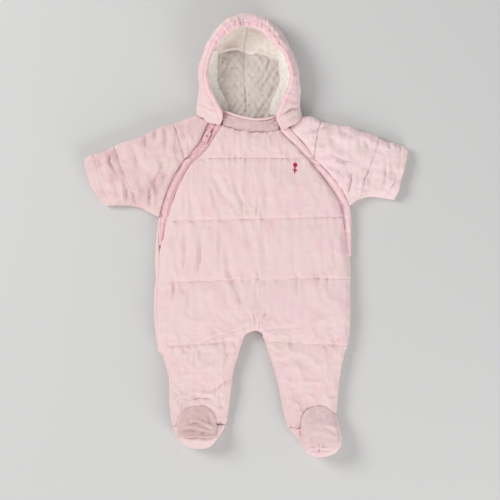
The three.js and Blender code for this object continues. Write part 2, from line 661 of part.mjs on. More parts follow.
// Zip tapes lie between front panel and sleeve; the plackets cover them except near the right slider,
// where bare gives the share of the tape's width that the placket leaves uncovered;
// lift raises the strip over the plain placket's top
const RIGHT_PLACKET = [
  { bare: 0.62, lift: -1.4 }, { bare: 0.6, lift: -1.4 }, { bare: 0.56, lift: -1.2 },
  { bare: 0.55, lift: -0.6 }, { bare: 0.46, lift: 0 }, { bare: 0.26, lift: 0.2 },
  { bare: 0, lift: 0.4 }, { bare: 0, lift: 0.4 },
  { bare: 0, lift: 0.3 }, { bare: 0, lift: 0 }, { bare: 0, lift: -0.2 }, { bare: 0, lift: -0.6 },
  { bare: 0, lift: -0.8 }, { bare: 0, lift: -1 }, { bare: 0, lift: -1.2 }, { bare: 0, lift: -1.4 },
  { bare: 0, lift: -1.6 },
];
const LEFT_PLACKET = [
  { bare: 0, lift: 4.4 }, { bare: 0, lift: 4.4 }, { bare: 0, lift: 4 }, { bare: 0, lift: 2.3 },
  { bare: 0, lift: 0.6 }, { bare: 0, lift: 0.4 }, { bare: 0, lift: 0.4 }, { bare: 0, lift: 0.4 },
  { bare: 0, lift: 0.3 }, { bare: 0, lift: 0 }, { bare: 0, lift: -0.2 }, { bare: 0, lift: -0.6 },
  { bare: 0, lift: -0.8 }, { bare: 0, lift: -1 }, { bare: 0, lift: -1.2 }, { bare: 0, lift: -1.6 },
];
const PLACKET_PROFILE = [
  { share: 0, drop: 0.9 },
  { share: 0.22, drop: 0.1 },
  { share: 0.5, drop: 0 },
  { share: 0.8, drop: 0.2 },
  { share: 1, drop: 1.2 },
];

function zipSide(row, outer, isRight) {
  return isRight ? { seam: row.right, edge: outer } : { seam: row.left, edge: outer };
}

function placket(table, zipOuter, isRight) {
  const rows = table.map(({ bare, lift }, k) => {
    const { seam, edge } = zipSide(FRONT_ROWS[k], zipOuter[k], isRight);
    const free = mixPoint(edge, seam, bare);
    return PLACKET_PROFILE.map(({ share, drop }) => [
      ...mixPoint(seam, free, share),
      PLACKET_TOP + lift - drop,
    ]);
  });
  const patch = new Patch();
  patch.grid(rows, isRight);
  return clothHung(patch, PLACKET_THICKNESS);
}

function zipTape(zipOuter, isRight) {
  const rows = zipOuter.map((outer, k) => {
    const { seam, edge } = zipSide(FRONT_ROWS[k], outer, isRight);
    return [0, 0.5, 1].map((share) => [...mixPoint(seam, edge, share), FRONT_FLOOR + TAPE_THICKNESS]);
  });
  const patch = new Patch();
  patch.grid(rows, isRight);
  return clothOnFloor(patch, FRONT_FLOOR);
}

// Foot: stations of the sole from the outer side seam round the toe to the inner side seam.
// outline is the widest line, seam the line where the sole meets the foot's top
const RIGHT_SOLE = [
  { outline: [-115.5, -297], seam: [-109, -297], z: 24, belly: 11 },
  { outline: [-113, -306], seam: [-108.6, -305], z: 28, belly: 13 },
  { outline: [-108.5, -316], seam: [-103.5, -311], z: 33, belly: 15 },
  { outline: [-100, -325], seam: [-95, -312.5], z: 38, belly: 18 },
  { outline: [-88, -330.5], seam: [-85, -312], z: 40.5, belly: 20 },
  { outline: [-75, -332.3], seam: [-74, -311.8], z: 41, belly: 20 },
  { outline: [-62, -331.5], seam: [-63, -313], z: 40, belly: 20 },
  { outline: [-53, -326], seam: [-54, -313.8], z: 37, belly: 18 },
  { outline: [-45, -315.5], seam: [-47.5, -311], z: 33, belly: 15 },
  { outline: [-38, -305], seam: [-46, -303], z: 28, belly: 13 },
  { outline: [-31.5, -294], seam: [-46.5, -294], z: 24, belly: 11 },
];
const LEFT_SOLE = [
  { outline: [140.5, -277], seam: [137, -276], z: 20.5, belly: 11 },
  { outline: [144, -293], seam: [140, -291], z: 26, belly: 12 },
  { outline: [148, -307], seam: [143, -305], z: 31, belly: 14 },
  { outline: [149.3, -318], seam: [143.5, -317], z: 34, belly: 16 },
  { outline: [147, -328], seam: [140, -326.5], z: 37, belly: 18 },
  { outline: [140, -336.5], seam: [134, -331.5], z: 39.5, belly: 20 },
  { outline: [129, -341.5], seam: [124.5, -333.5], z: 41, belly: 22 },
  { outline: [114, -345], seam: [113.5, -333], z: 41, belly: 22 },
  { outline: [101, -342], seam: [103, -333.5], z: 41, belly: 22 },
  { outline: [91, -335], seam: [95, -331], z: 39, belly: 20 },
  { outline: [86, -327], seam: [90.5, -325.5], z: 36, belly: 18 },
  { outline: [82.5, -319], seam: [87, -316], z: 33, belly: 16 },
  { outline: [74.5, -310], seam: [84.5, -307], z: 29, belly: 13 },
  { outline: [65, -299], seam: [84.5, -299.5], z: 25, belly: 11 },
];
const SOLE_BOTTOM_TUCK = 3;
const SOLE_RAND = { inset: 0.9, height: 3 };
const SOLE_TURNS = [0.19, 0.35];
const SOLE_ROOM = 2;
const SOLE_INNER_CURVE = [{ share: 0.35, up: 0.4 }, { share: 0.75, up: 0.8 }];

function sole(table, centre, mirrored) {
  const outer = [];
  const inner = [];
  for (const { outline, seam, z, belly } of table) {
    const inward = new THREE.Vector2(centre[0] - outline[0], centre[1] - outline[1]).normalize();
    const inset = (distance) => [outline[0] + inward.x * distance, outline[1] + inward.y * distance];
    const bulge = (turn) => {
      const [x, y] = mixPoint(outline, seam, 1 - Math.cos(turn));
      return [x, y, mix(belly, z, Math.sin(turn))];
    };
    outer.push([
      [...inset(SOLE_BOTTOM_TUCK), 0],
      [...inset(SOLE_RAND.inset), SOLE_RAND.height],
      [...outline, belly],
      ...SOLE_TURNS.map((turn) => bulge(Math.PI * turn)),
      [...seam, z],
    ]);
    const reach = Math.hypot(seam[0] - outline[0], seam[1] - outline[1]);
    const wall = Math.min(SOLE_WALL, reach);
    const low = z - SOLE_WALL - SOLE_ROOM;
    const side = Math.min(belly, low - SOLE_RAND.height);
    const [first, second] = SOLE_INNER_CURVE;
    inner.push([
      [...inset(SOLE_WALL), 0],
      [...inset(SOLE_WALL), SOLE_RAND.height],
      [...inset(SOLE_WALL), side],
      [...mixPoint(inset(SOLE_WALL), seam, first.share), mix(side, low, first.up)],
      [...mixPoint(inset(wall), seam, second.share), mix(side, low, second.up)],
      [...seam, low],
    ]);
  }
  const patch = new Patch();
  patch.grid(outer, mirrored);
  const inside = new Map();
  outer.forEach((row, i) => row.forEach((place, k) => {
    inside.set(patch.point(...place), new THREE.Vector3(...inner[i][k]));
  }));
  const moves = patch.inwards(false);
  const shift = (place, id) => {
    const move = moves.get(id);
    return move ? place.clone().addScaledVector(move, SEAM_GAP / 2) : place.clone();
  };
  const seen = patch.points.map(shift);
  const under = patch.points.map((place, id) => shift(inside.get(id), id));
  seen.concat(under).forEach((place) => place.setZ(Math.max(0, place.z)));
  return clothBetween(patch, seen, under);
}

// Foot top: from the leg seam down to the toe seam of the sole
const VAMP_ROWS = [
  { share: 0, rise: 0 },
  { share: 0.2, rise: 2.2 },
  { share: 0.42, rise: 3.4 },
  { share: 0.63, rise: 2.2 },
  { share: 0.82, rise: 1.2 },
  { share: 1, rise: 0 },
];

// stations of the soles between which the toe seam runs, and the middles of the feet
const RIGHT_TOE = { from: 2, to: 8 };
const LEFT_TOE = { from: 4, to: 9 };
const RIGHT_FOOT_CENTRE = [-76, -296];
const LEFT_FOOT_CENTRE = [112, -300];
const VAMP_OVERLAY = 1;

function vamp(legSeam, soleTable, toeStations, mirrored) {
  const top = legSeam.slice(1, -1).map(({ place, z }) => [...place, z + VAMP_OVERLAY]);
  const seam = soleTable.map((station) => [...station.seam, station.z]);
  const outerSide = seam.slice(0, toeStations.from + 1);
  const innerSide = seam.slice(toeStations.to).reverse();
  const toe = seam.slice(toeStations.from, toeStations.to + 1);
  const rows = VAMP_ROWS.map(({ share, rise }) => top.map((upper, j) => {
    const across = j / (top.length - 1);
    const lower = along(toe, across);
    const outer = along(outerSide, share);
    const inner = along(innerSide, share);
    const ruled = mixPoint(upper, lower, share);
    const sides = mixPoint(outer, inner, across);
    const corners = mixPoint(
      mixPoint(top[0], top[top.length - 1], across),
      mixPoint(toe[0], toe[toe.length - 1], across),
      share,
    );
    const [x, y, z] = ruled.map((value, k) => value + sides[k] - corners[k]);
    return [x, y, z + rise * Math.sin(Math.PI * across)];
  }));
  const patch = new Patch();
  patch.grid(rows, mirrored);
  return clothHung(patch, VAMP_WALL);
}

// point at a share of the way along a line of points, counted by its stretches
function along(line, share) {
  const place = share * (line.length - 1);
  const k = Math.min(Math.floor(place), line.length - 2);
  return mixPoint(line[k], line[k + 1], place - k);
}

// Hood stations from the wearer's right corner over the crown to the left corner.
// outline: widest line, brim: front edge of the hood, spine: place on the middle seam,
// flat: share of the way out that lies flat, belly: height of the widest line, crest: height of the brim
const HOOD = [
  { outline: [-78.5, 190.5], brim: [-42, 172.5], spine: [2, 182], flat: 0.78, belly: 13, crest: 27 },
  { outline: [-78, 203], brim: [-35, 188], spine: [1.5, 196], flat: 0.79, belly: 14, crest: 31 },
  { outline: [-75.5, 219], brim: [-44, 207], spine: [1, 210], flat: 0.8, belly: 16, crest: 36 },
  { outline: [-74, 236], brim: [-54.5, 229], spine: [0.5, 226], flat: 0.8, belly: 18, crest: 41 },
  { outline: [-75, 256], brim: [-59, 250], spine: [0, 242], flat: 0.8, belly: 19, crest: 44 },
  { outline: [-69.5, 279], brim: [-54.5, 271], spine: [-1, 256], flat: 0.78, belly: 20, crest: 46 },
  { outline: [-58, 306], brim: [-44, 299], spine: [-2, 268], flat: 0.72, belly: 21, crest: 47 },
  { outline: [-33, 336], brim: [-26, 321], spine: [-2.5, 276], flat: 0.6, belly: 22, crest: 47 },
  { outline: [2, 345], brim: [1, 328], spine: [-3, 280], flat: 0.55, belly: 22, crest: 47 },
  { outline: [38, 334.5], brim: [27, 317.5], spine: [-2.5, 276], flat: 0.6, belly: 22, crest: 47 },
  { outline: [64, 302], brim: [41, 298], spine: [-2, 268], flat: 0.7, belly: 21, crest: 47 },
  { outline: [76.5, 275], brim: [58.5, 279], spine: [-1, 256], flat: 0.76, belly: 20, crest: 46 },
  { outline: [83, 251], brim: [67, 249], spine: [0, 242], flat: 0.79, belly: 19, crest: 44 },
  { outline: [85, 229], brim: [62, 227], spine: [0.5, 226], flat: 0.8, belly: 18, crest: 41 },
  { outline: [82.5, 213], brim: [53, 207], spine: [1, 210], flat: 0.8, belly: 16, crest: 36 },
  { outline: [84.5, 199], brim: [45, 190], spine: [1.5, 196], flat: 0.79, belly: 14, crest: 33 },
  { outline: [87.5, 188.5], brim: [52, 169], spine: [2, 182], flat: 0.78, belly: 13, crest: 31 },
];
// The neckline at the back, which the hood's lowest station follows, spine first
const NECK_RIGHT = [[2, 182.5], [-18, 183.5], [-40, 183], [-60, 180.8]];
const NECK_LEFT = [[2, 182.5], [24, 181.5], [46, 178.5], [66, 170]];
const HOOD_FLOOR = [0, 0.4, 0.76, 1];
const FLEECE_COLUMN = 2;
const HOOD_RISE = [
  { out: 0.62, up: 0.2 },
  { out: 0.93, up: 0.58 },
  { out: 1, up: 1 },
];
const HOOD_OVER = [
  { share: 0.1, up: 0.58 },
  { share: 0.34, up: 0.92 },
  { share: 0.7, up: 1 },
  { share: 1, up: 0.88 },
];
const CORNER_RIGHT = [[-76, 189.5], [-68, 186.5], [-56, 180.5], [-42.5, 173]];
const CORNER_LEFT = [[86, 187.5], [77.5, 181.5], [66.5, 173], [53, 169]];
const BRIM_COLUMN = HOOD_FLOOR.length + HOOD_RISE.length + HOOD_OVER.length - 1;
const WALL_COLUMN = HOOD_FLOOR.length + HOOD_RISE.length - 1;

// Half-way stations on a smooth line through their neighbours, so that the hood is round
function withMiddles(table) {
  const at = (i) => table[Math.max(0, Math.min(table.length - 1, i))];
  const smooth = (a, b, c, d) => (9 * (b + c) - a - d) / 16;
  return table.flatMap((station, i) => {
    if (i === table.length - 1) {
      return [station];
    }
    const four = [at(i - 1), station, at(i + 1), at(i + 2)];
    const middle = Object.fromEntries(Object.keys(station).map((name) => {
      const values = four.map((each) => each[name]);
      if (typeof station[name] === 'number') {
        return [name, smooth(...values)];
      }
      return [name, [0, 1].map((k) => smooth(...values.map((value) => value[k])))];
    }));
    return [station, middle];
  });
}

const HOOD_STATIONS = withMiddles(HOOD);
const CROWN = (HOOD_STATIONS.length - 1) / 2;

function hoodRow(station, neck, corner) {
  const { outline, brim, spine, flat, belly, crest } = station;
  const floor = HOOD_FLOOR.map((share, k) => {
    const [x, y] = neck ? neck[k] : mixPoint(spine, outline, share * flat);
    return [x, y, 0];
  });
  const rise = HOOD_RISE.map(({ out, up }) => {
    const start = floor[floor.length - 1];
    return [...mixPoint(start.slice(0, 2), outline, out), belly * up];
  });
  const over = HOOD_OVER.map(({ share, up }, k) => {
    const [x, y] = corner ? corner[k] : mixPoint(outline, brim, share);
    return [x, y, mix(belly, crest, up)];
  });
  return [...floor, ...rise, ...over];
}

const hoodRows = HOOD_STATIONS.map((station, i) => {
  if (i === 0) {
    return hoodRow(station, NECK_RIGHT, CORNER_RIGHT);
  }
  const isLast = i === HOOD_STATIONS.length - 1;
  return isLast ? hoodRow(station, NECK_LEFT, CORNER_LEFT) : hoodRow(station);
});

// One half of a hood layer, thick below depth from; keep picks its cells, counted from corner and spine
function hoodHalf(isRight, from, thickness, keep) {
  const whole = new Patch();
  whole.grid(hoodRows, true);
  const normals = whole.normals();
  const rows = isRight ? hoodRows.slice(0, CROWN + 1) : hoodRows.slice(CROWN).reverse();
  const patch = new Patch();
  patch.grid(rows, isRight, keep);
  const edge = drawnIn(patch, false);
  const normalAt = patch.points.map((place) => normals[whole.point(...place.toArray())]);
  const seen = edge.map((place, id) => place.clone().addScaledVector(normalAt[id], -from));
  const under = edge.map((place, id) => place.clone().addScaledVector(normalAt[id], -from - thickness));
  return clothBetween(patch, seen, under);
}

const LINING_DEPTH = HOOD_WALL + SEAM_GAP;
const CROWN_REACH = 4;
const BARE_CORNER = 1;
const FLEECE_TAPER = 3;
const nearCrown = (i) => i >= CROWN - CROWN_REACH;
const hasFleece = (i) => i > BARE_CORNER && !nearCrown(i);
// The fleece strip narrows towards the crown
const fleeceFrom = (i) => FLEECE_COLUMN + Math.max(0, i - (CROWN - CROWN_REACH - FLEECE_TAPER));
const inFacing = (i, k) => hasFleece(i) && k >= fleeceFrom(i) && k < BRIM_COLUMN - 1;
const inLining = (i, k) => !inFacing(i, k) && k < (nearCrown(i) ? BRIM_COLUMN - 1 : WALL_COLUMN);

// Neck band: from the front panel's neck seam up to its piped edge
const BAND = [
  { share: 0, top: [-35, 197], z: 17.5, topZ: 18.6 },
  { share: 0.12, top: [-26, 193.5], z: 18, topZ: 21.5 },
  { share: 0.27, top: [-14, 188.8], z: 18.5, topZ: 24.5 },
  { share: 0.43, top: [0, 185.5], z: 18.8, topZ: 26 },
  { share: 0.59, top: [15, 183.2], z: 19, topZ: 26.5 },
  { share: 0.74, top: [28, 184], z: 18.8, topZ: 25 },
  { share: 0.88, top: [39, 186.5], z: 18, topZ: 21.5 },
  { share: 1, top: [47, 190], z: 17.5, topZ: 18.6 },
];
const BAND_PROFILE = [
  { share: 0, bulge: 0 },
  { share: 0.3, bulge: 1.4 },
  { share: 0.65, bulge: 1.6 },
  { share: 0.86, bulge: 0.8 },
  { share: 1, bulge: 0 },
];

function neckBand() {
  const rows = BAND_PROFILE.map(({ share, bulge }) => BAND.map((station) => [
    ...mixPoint(placeInRow(FRONT_ROWS[0], station.share), station.top, share),
    mix(station.z, station.topZ, share) + bulge,
  ])).reverse();
  const patch = new Patch();
  patch.grid(rows);
  return clothHung(patch, BAND_WALL);
}

// Slider and pull tab, drawn lying along +X from the hinge bar's middle, Z up
const SLIDER = {
  length: 13, width: 8.4, waist: 6, thickness: 3.8, ahead: 3.6, shoulder: 4, hip: 3.5, heel: 1,
};
const SLIDER_BEVEL = 0.6;
const BAR = { thickness: 1.2, post: 1.4, span: 7.6, rise: 2.2, sunk: 1 };
const TAB = { length: 22.5, width: 9.2, neck: 4.2, thickness: 1.5, neckEnd: 4.2, shoulder: 6.2, round: 2 };
const TAB_HOLE = { at: 12, radius: 1.5 };
const EYE = { outer: 1.55, inner: 1, width: 4.2, lap: 0.3 };
const CURVE_STEPS = 6;

function extruded(shape, depth, axes) {
  const settings = { depth, bevelEnabled: false, curveSegments: CURVE_STEPS };
  const geometry = new THREE.ExtrudeGeometry(shape, settings);
  geometry.translate(0, 0, -depth / 2);
  geometry.applyMatrix4(new THREE.Matrix4().makeBasis(...axes));
  const places = geometry.attributes.position;
  const triangles = [];
  for (let k = 0; k < places.count; k += 3) {
    triangles.push([0, 1, 2].map((n) => new THREE.Vector3().fromBufferAttribute(places, k + n)));
  }
  return closedGeometry(triangles);
}

const AXIS_X = new THREE.Vector3(1, 0, 0);
const AXIS_Y = new THREE.Vector3(0, 1, 0);
const AXIS_Z = new THREE.Vector3(0, 0, 1);
const FLAT = [AXIS_X, AXIS_Y, AXIS_Z];
const ON_EDGE = [AXIS_X, AXIS_Z, AXIS_Y.clone().negate()];
const CROSSWISE = [AXIS_Y, AXIS_Z, AXIS_X];

function outlineShape(places) {
  return new THREE.Shape(places.map(([x, y]) => new THREE.Vector2(x, y)));
}

function ringShape(outer, inner) {
  const shape = new THREE.Shape().absarc(0, 0, outer, 0, Math.PI * 2, false);
  shape.holes.push(new THREE.Path().absarc(0, 0, inner, 0, Math.PI * 2, true));
  return shape;
}

function slider(wasm) {
  const { length, width, waist, thickness, ahead, shoulder, hip, heel } = SLIDER;
  const back = ahead - length;
  const upper = [
    [ahead, waist / 2],
    [ahead - shoulder, waist / 2],
    [back + hip, width / 2],
    [back + heel, width / 2 - SLIDER_BEVEL],
    [back, width / 4],
  ];
  const lower = [...upper].reverse().map(([x, y]) => [x, -y]);
  const body = extruded(outlineShape([...upper, ...lower]), thickness, FLAT);
  body.translate(0, 0, -BAR.rise - thickness / 2);
  const side = BAR.span / 2;
  const foot = -BAR.rise - BAR.sunk;
  const half = BAR.thickness / 2;
  const bridge = outlineShape([
    [-side, foot], [-side, half], [side, half], [side, foot],
    [side - BAR.post, foot], [side - BAR.post, -half], [BAR.post - side, -half], [BAR.post - side, foot],
  ]);
  const arch = extruded(bridge, BAR.thickness, CROSSWISE);
  return fromSolid(toSolid(wasm, body).add(toSolid(wasm, arch)));
}

function pullTab(wasm) {
  const { length, width, neck, thickness, neckEnd, shoulder, round } = TAB;
  const wide = width / 2;
  const start = EYE.inner + EYE.lap;
  const plate = new THREE.Shape();
  plate.moveTo(start, -neck / 2);
  plate.lineTo(neckEnd, -neck / 2);
  plate.lineTo(shoulder, -wide);
  plate.absarc(length - round, round - wide, round, -Math.PI / 2, 0, false);
  plate.absarc(length - round, wide - round, round, 0, Math.PI / 2, false);
  plate.lineTo(shoulder, wide);
  plate.lineTo(neckEnd, neck / 2);
  plate.lineTo(start, neck / 2);
  plate.closePath();
  plate.holes.push(new THREE.Path().absarc(TAB_HOLE.at, 0, TAB_HOLE.radius, 0, Math.PI * 2, true));
  const flat = extruded(plate, thickness, FLAT);
  const eye = extruded(ringShape(EYE.outer, EYE.inner), EYE.width, ON_EDGE);
  return fromSolid(toSolid(wasm, flat).add(toSolid(wasm, eye)));
}

// The hinge bars' middles and the way each pull tab points, seen from above
const RIGHT_BAR = { at: [-56.4, 167.2, 16.4], points: [-10, -20.9] };
const LEFT_BAR = { at: [66.3, 159.2, 16.4], points: [11.3, -11.6] };

const wasm = await Module();
wasm.setup();

const suit = new THREE.Group();

function sew(name, geometry, color, roughness = CLOTH_ROUGHNESS, metalness = 0) {
  const mesh = new THREE.Mesh(geometry, new THREE.MeshStandardMaterial({ color, roughness, metalness }));
  mesh.name = name;
  suit.add(mesh);
  return mesh;
}

function metalwork(name, geometry, { at, points }) {
  const mesh = sew(name, geometry, PAINTED_METAL, METAL_ROUGHNESS, METAL_METALNESS);
  mesh.position.set(...at);
  mesh.rotation.z = Math.atan2(points[1], points[0]);
}

sew('front_panel', frontPanel(), PINK_CLOTH);
sew('back_panel', backPanel(), PINK_CLOTH);
sew('sleeve_right', sleeve(wasm, RIGHT_SLEEVE, RIGHT_ZIP_OUTER, -1), PINK_CLOTH);
sew('sleeve_left', sleeve(wasm, LEFT_SLEEVE, LEFT_ZIP_OUTER, 1), PINK_CLOTH);
sew('zip_tape_right', zipTape(RIGHT_ZIP_OUTER, true), TAPE_PINK);
sew('zip_tape_left', zipTape(LEFT_ZIP_OUTER, false), TAPE_PINK);
sew('placket_right', placket(RIGHT_PLACKET, RIGHT_ZIP_OUTER, true), STRIP_CLOTH);
sew('placket_left', placket(LEFT_PLACKET, LEFT_ZIP_OUTER, false), STRIP_CLOTH);
sew('foot_sole_right', sole(RIGHT_SOLE, RIGHT_FOOT_CENTRE, false), PINK_CLOTH);
sew('foot_sole_left', sole(LEFT_SOLE, LEFT_FOOT_CENTRE, true), PINK_CLOTH);
sew('foot_vamp_right', vamp(RIGHT_FOOT_SEAM, RIGHT_SOLE, RIGHT_TOE, false), PINK_CLOTH);
sew('foot_vamp_left', vamp(LEFT_FOOT_SEAM, LEFT_SOLE, LEFT_TOE, true), PINK_CLOTH);
sew('neck_band', neckBand(), PINK_CLOTH);
for (const isRight of [true, false]) {
  const side = isRight ? 'right' : 'left';
  sew(`hood_side_${side}`, hoodHalf(isRight, 0, HOOD_WALL), PINK_CLOTH);
  sew(`hood_lining_${side}`, hoodHalf(isRight, LINING_DEPTH, LINING_WALL, inLining), LINING_CLOTH);
  sew(`hood_facing_${side}`, hoodHalf(isRight, LINING_DEPTH, FACING_WALL, inFacing), FLEECE);
}
metalwork('slider_right', slider(wasm), RIGHT_BAR);
metalwork('slider_left', slider(wasm), LEFT_BAR);
metalwork('pull_tab_right', pullTab(wasm), RIGHT_BAR);
metalwork('pull_tab_left', pullTab(wasm), LEFT_BAR);

export default suit;
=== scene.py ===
import math

import bmesh
import bpy
import numpy as np
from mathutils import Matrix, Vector
from mathutils.bvhtree import BVHTree


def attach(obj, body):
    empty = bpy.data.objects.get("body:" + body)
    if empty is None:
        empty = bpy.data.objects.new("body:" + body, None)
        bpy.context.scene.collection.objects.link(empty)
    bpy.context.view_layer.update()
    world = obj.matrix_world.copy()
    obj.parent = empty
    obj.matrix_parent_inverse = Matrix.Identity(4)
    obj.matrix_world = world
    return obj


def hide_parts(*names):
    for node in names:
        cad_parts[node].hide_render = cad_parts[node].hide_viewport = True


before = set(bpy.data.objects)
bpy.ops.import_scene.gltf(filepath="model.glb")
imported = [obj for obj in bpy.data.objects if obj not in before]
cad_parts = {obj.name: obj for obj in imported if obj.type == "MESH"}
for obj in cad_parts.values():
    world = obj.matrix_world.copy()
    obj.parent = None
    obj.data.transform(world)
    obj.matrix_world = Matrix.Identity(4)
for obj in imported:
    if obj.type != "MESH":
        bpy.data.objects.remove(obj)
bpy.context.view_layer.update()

# Camera. It hangs above the laid suit and looks straight down, the hood at the top of the picture.
CAMERA_HEIGHT = 2.5
PICTURE_WIDTH = 0.78
PICTURE_MIDDLE = (0.0057, -0.0214)
CLOTH_LEVEL = 0.015
FILM_WIDTH = 36


def placed(name, data):
    """A new object in the scene"""
    thing = bpy.data.objects.new(name, data)
    bpy.context.collection.objects.link(thing)
    return thing


camera_data = bpy.data.cameras.new("camera")
camera_data.sensor_width = FILM_WIDTH
camera_data.lens = FILM_WIDTH * (CAMERA_HEIGHT - CLOTH_LEVEL) / PICTURE_WIDTH
camera = placed("camera", camera_data)
camera.location = (*PICTURE_MIDDLE, CAMERA_HEIGHT)
bpy.context.scene.camera = camera
bpy.context.scene.view_settings.view_transform = "Standard"


# Floor and light. A plain pale floor, a wide soft lamp from the upper left, a slightly weaker one
# from the lower right, and even light from all round.
FLOOR_GREY = (0.62, 0.62, 0.61)
FLOOR_REACH = 9
SKY_GREY = (0.96, 0.96, 0.975)
SKY_STRENGTH = 0.52


def dyed(red, green, blue):
    """A colour as it is seen on a screen, 0 to 255, for a shader"""
    return [((c / 255 + 0.055) / 1.055) ** 2.4 for c in (red, green, blue)] + [1]


def darker(colour, share):
    """The colour with that share of its light"""
    return [c * share for c in colour[:3]] + [1]


def set_inputs(node, values):
    """Sets the named inputs of a shader node and gives it back"""
    for name, value in values.items():
        node.inputs[name].default_value = value
    return node


floor_mesh = bpy.data.meshes.new("floor")
floor_corners = [(x * FLOOR_REACH, y * FLOOR_REACH, 0) for x, y in ((-1, -1), (1, -1), (1, 1), (-1, 1))]
floor_mesh.from_pydata(floor_corners, [], [(0, 1, 2, 3)])
floor = placed("floor", floor_mesh)
floor_paint = bpy.data.materials.new("floor_paint")
floor_paint.use_nodes = True
floor_shader = floor_paint.node_tree.nodes["Principled BSDF"]
set_inputs(floor_shader, {"Base Color": (*FLOOR_GREY, 1), "Roughness": 0.9})
floor_mesh.materials.append(floor_paint)

for lamp_name, place, size, power in (
    ("window", (-2.1, 0.9, 1.9), 1.3, 50),
    ("room", (1.3, -2.1, 1.0), 1.6, 40),
):
    lamp_data = bpy.data.lights.new(lamp_name, "AREA")
    lamp_data.size = size
    lamp_data.energy = power
    lamp = placed(lamp_name, lamp_data)
    lamp.location = place
    lamp.rotation_euler = (-Vector(place)).to_track_quat("-Z", "Y").to_euler()
world = bpy.data.worlds.new("room_light")
world.use_nodes = True
set_inputs(world.node_tree.nodes["Background"], {"Color": (*SKY_GREY, 1), "Strength": SKY_STRENGTH})
bpy.context.scene.world = world


# Back panel. Padded cotton cut in one from neck to heels; the suit lies on it, and only its edge
# shows beside the front and between the legs.
SHELL_PINK = dyed(235, 207, 207)
SHELL_SHADE = dyed(234, 201, 204)
SHELL_CREAM = dyed(231, 208, 203)


def made_up(piece):
    """The piece's mesh with its modifiers carried out"""
    bpy.context.view_layer.update()
    return bpy.data.meshes.new_from_object(piece.evaluated_get(bpy.context.evaluated_depsgraph_get()))


def cloth_from(nodes, name, levels, firm=0.35, sewn=None):
    """Cloth with the form of a solid: its faces are joined back to squares and rounded off between
    its edges, and none of it lies below the floor. Solids that are sewn together become one cloth,
    its points that many metres apart"""
    bm = bmesh.new()
    for node in nodes:
        bm.from_mesh(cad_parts[node].data)
    bmesh.ops.remove_doubles(bm, verts=bm.verts, dist=2e-5)
    bmesh.ops.join_triangles(bm, faces=bm.faces, angle_face_threshold=0.9, angle_shape_threshold=1.4)
    turned = bm.edges.layers.float.new("crease_edge")
    for edge in bm.edges:
        if edge.calc_face_angle(0) > 0.9:
            edge[turned] = firm
    mesh = bpy.data.meshes.new(name)
    bm.to_mesh(mesh)
    bm.free()
    piece = placed(name, mesh)
    rounding = piece.modifiers.new("rounding", "SUBSURF")
    rounding.levels = levels
    rounding.render_levels = levels
    if sewn:
        meeting = piece.modifiers.new("meeting", "DISPLACE")
        meeting.strength = 0.0003
        meeting.mid_level = 0
        joining = piece.modifiers.new("joining", "REMESH")
        joining.mode = "VOXEL"
        joining.voxel_size = sewn
        evening = piece.modifiers.new("evening", "SMOOTH")
        evening.factor = 0.5
        evening.iterations = 4
    rounded = made_up(piece)
    piece.modifiers.clear()
    piece.data = rounded
    rounded.name = name
    for point in rounded.vertices:
        point.co.z = max(point.co.z, 0)
    rounded.shade_smooth()
    return piece


def rows_of(things, what):
    """One row of three numbers for each thing"""
    flat = np.empty(len(things) * 3)
    things.foreach_get(what, flat)
    return flat.reshape(-1, 3)


def places_of(piece):
    """Its points in millimetres"""
    return rows_of(piece.data.vertices, "co") * 1000


def facings_of(piece):
    """The way each of its points faces"""
    return rows_of(piece.data.vertex_normals, "vector")


def put_places(piece, places):
    """Moves its points there"""
    piece.data.vertices.foreach_set("co", (places / 1000).ravel())


def raise_cloth(piece, heights, seen):
    """Moves the seen side out by heights in millimetres"""
    put_places(piece, places_of(piece) + facings_of(piece) * (heights * seen)[:, None])
    piece.data.update()


def upper_side(piece):
    """1 where the cloth faces up, 0 where it lies underneath"""
    return np.clip((facings_of(piece)[:, 2] - 0.05) / 0.5, 0, 1)


def eased(share):
    """From 0 to 1 with a gentle start and end"""
    return share * share * (3 - 2 * share)


def lumps(places, size, seed):
    """Soft uneven heights, about -1 to 1, in lumps of that size in millimetres"""
    table = np.random.default_rng(seed).uniform(-1, 1, (32, 32, 32))
    spots = places / size
    low = np.floor(spots).astype(int)
    share = eased(spots - low)
    total = np.zeros(len(places))
    for corner in np.ndindex(2, 2, 2):
        near = (low + corner) % 32
        weight = np.where(np.array(corner) == 1, share, 1 - share).prod(axis=1)
        total += weight * table[near[:, 0], near[:, 1], near[:, 2]]
    return total * 1.5


def small_folds(places, size, stretch, seed):
    """Crisp uneven ridges, 0 to 1; a stretch below 1 draws them out along that axis"""
    return np.clip(1 - 1.5 * np.abs(lumps(places * stretch, size, seed)), 0, 1) ** 1.5


def cloth_colour(nodes, links, shader, colour, shade, patch, faded=None):
    """The dyed colour, uneven over patches of that size in metres, from shade to faded"""
    where = nodes.new("ShaderNodeTexCoord")
    cloud = set_inputs(nodes.new("ShaderNodeTexNoise"), {"Scale": 1 / patch, "Detail": 4})
    ramp = nodes.new("ShaderNodeValToRGB")
    ramp.color_ramp.elements[0].position = 0.3
    ramp.color_ramp.elements[0].color = shade
    ramp.color_ramp.elements[1].position = 0.5
    ramp.color_ramp.elements[1].color = colour
    ramp.color_ramp.elements.new(0.7).color = faded or colour
    links.new(where.outputs["Object"], cloud.inputs["Vector"])
    links.new(cloud.outputs["Fac"], ramp.inputs["Fac"])
    links.new(ramp.outputs["Color"], shader.inputs["Base Color"])
    return where


def bump_of(nodes, links, height, distance, strength, below=None):
    """A relief of that many metres, laid over the one below it"""
    bump = set_inputs(nodes.new("ShaderNodeBump"), {"Distance": distance, "Strength": strength})
    links.new(height, bump.inputs["Height"])
    if below is not None:
        links.new(below.outputs["Normal"], bump.inputs["Normal"])
    return bump


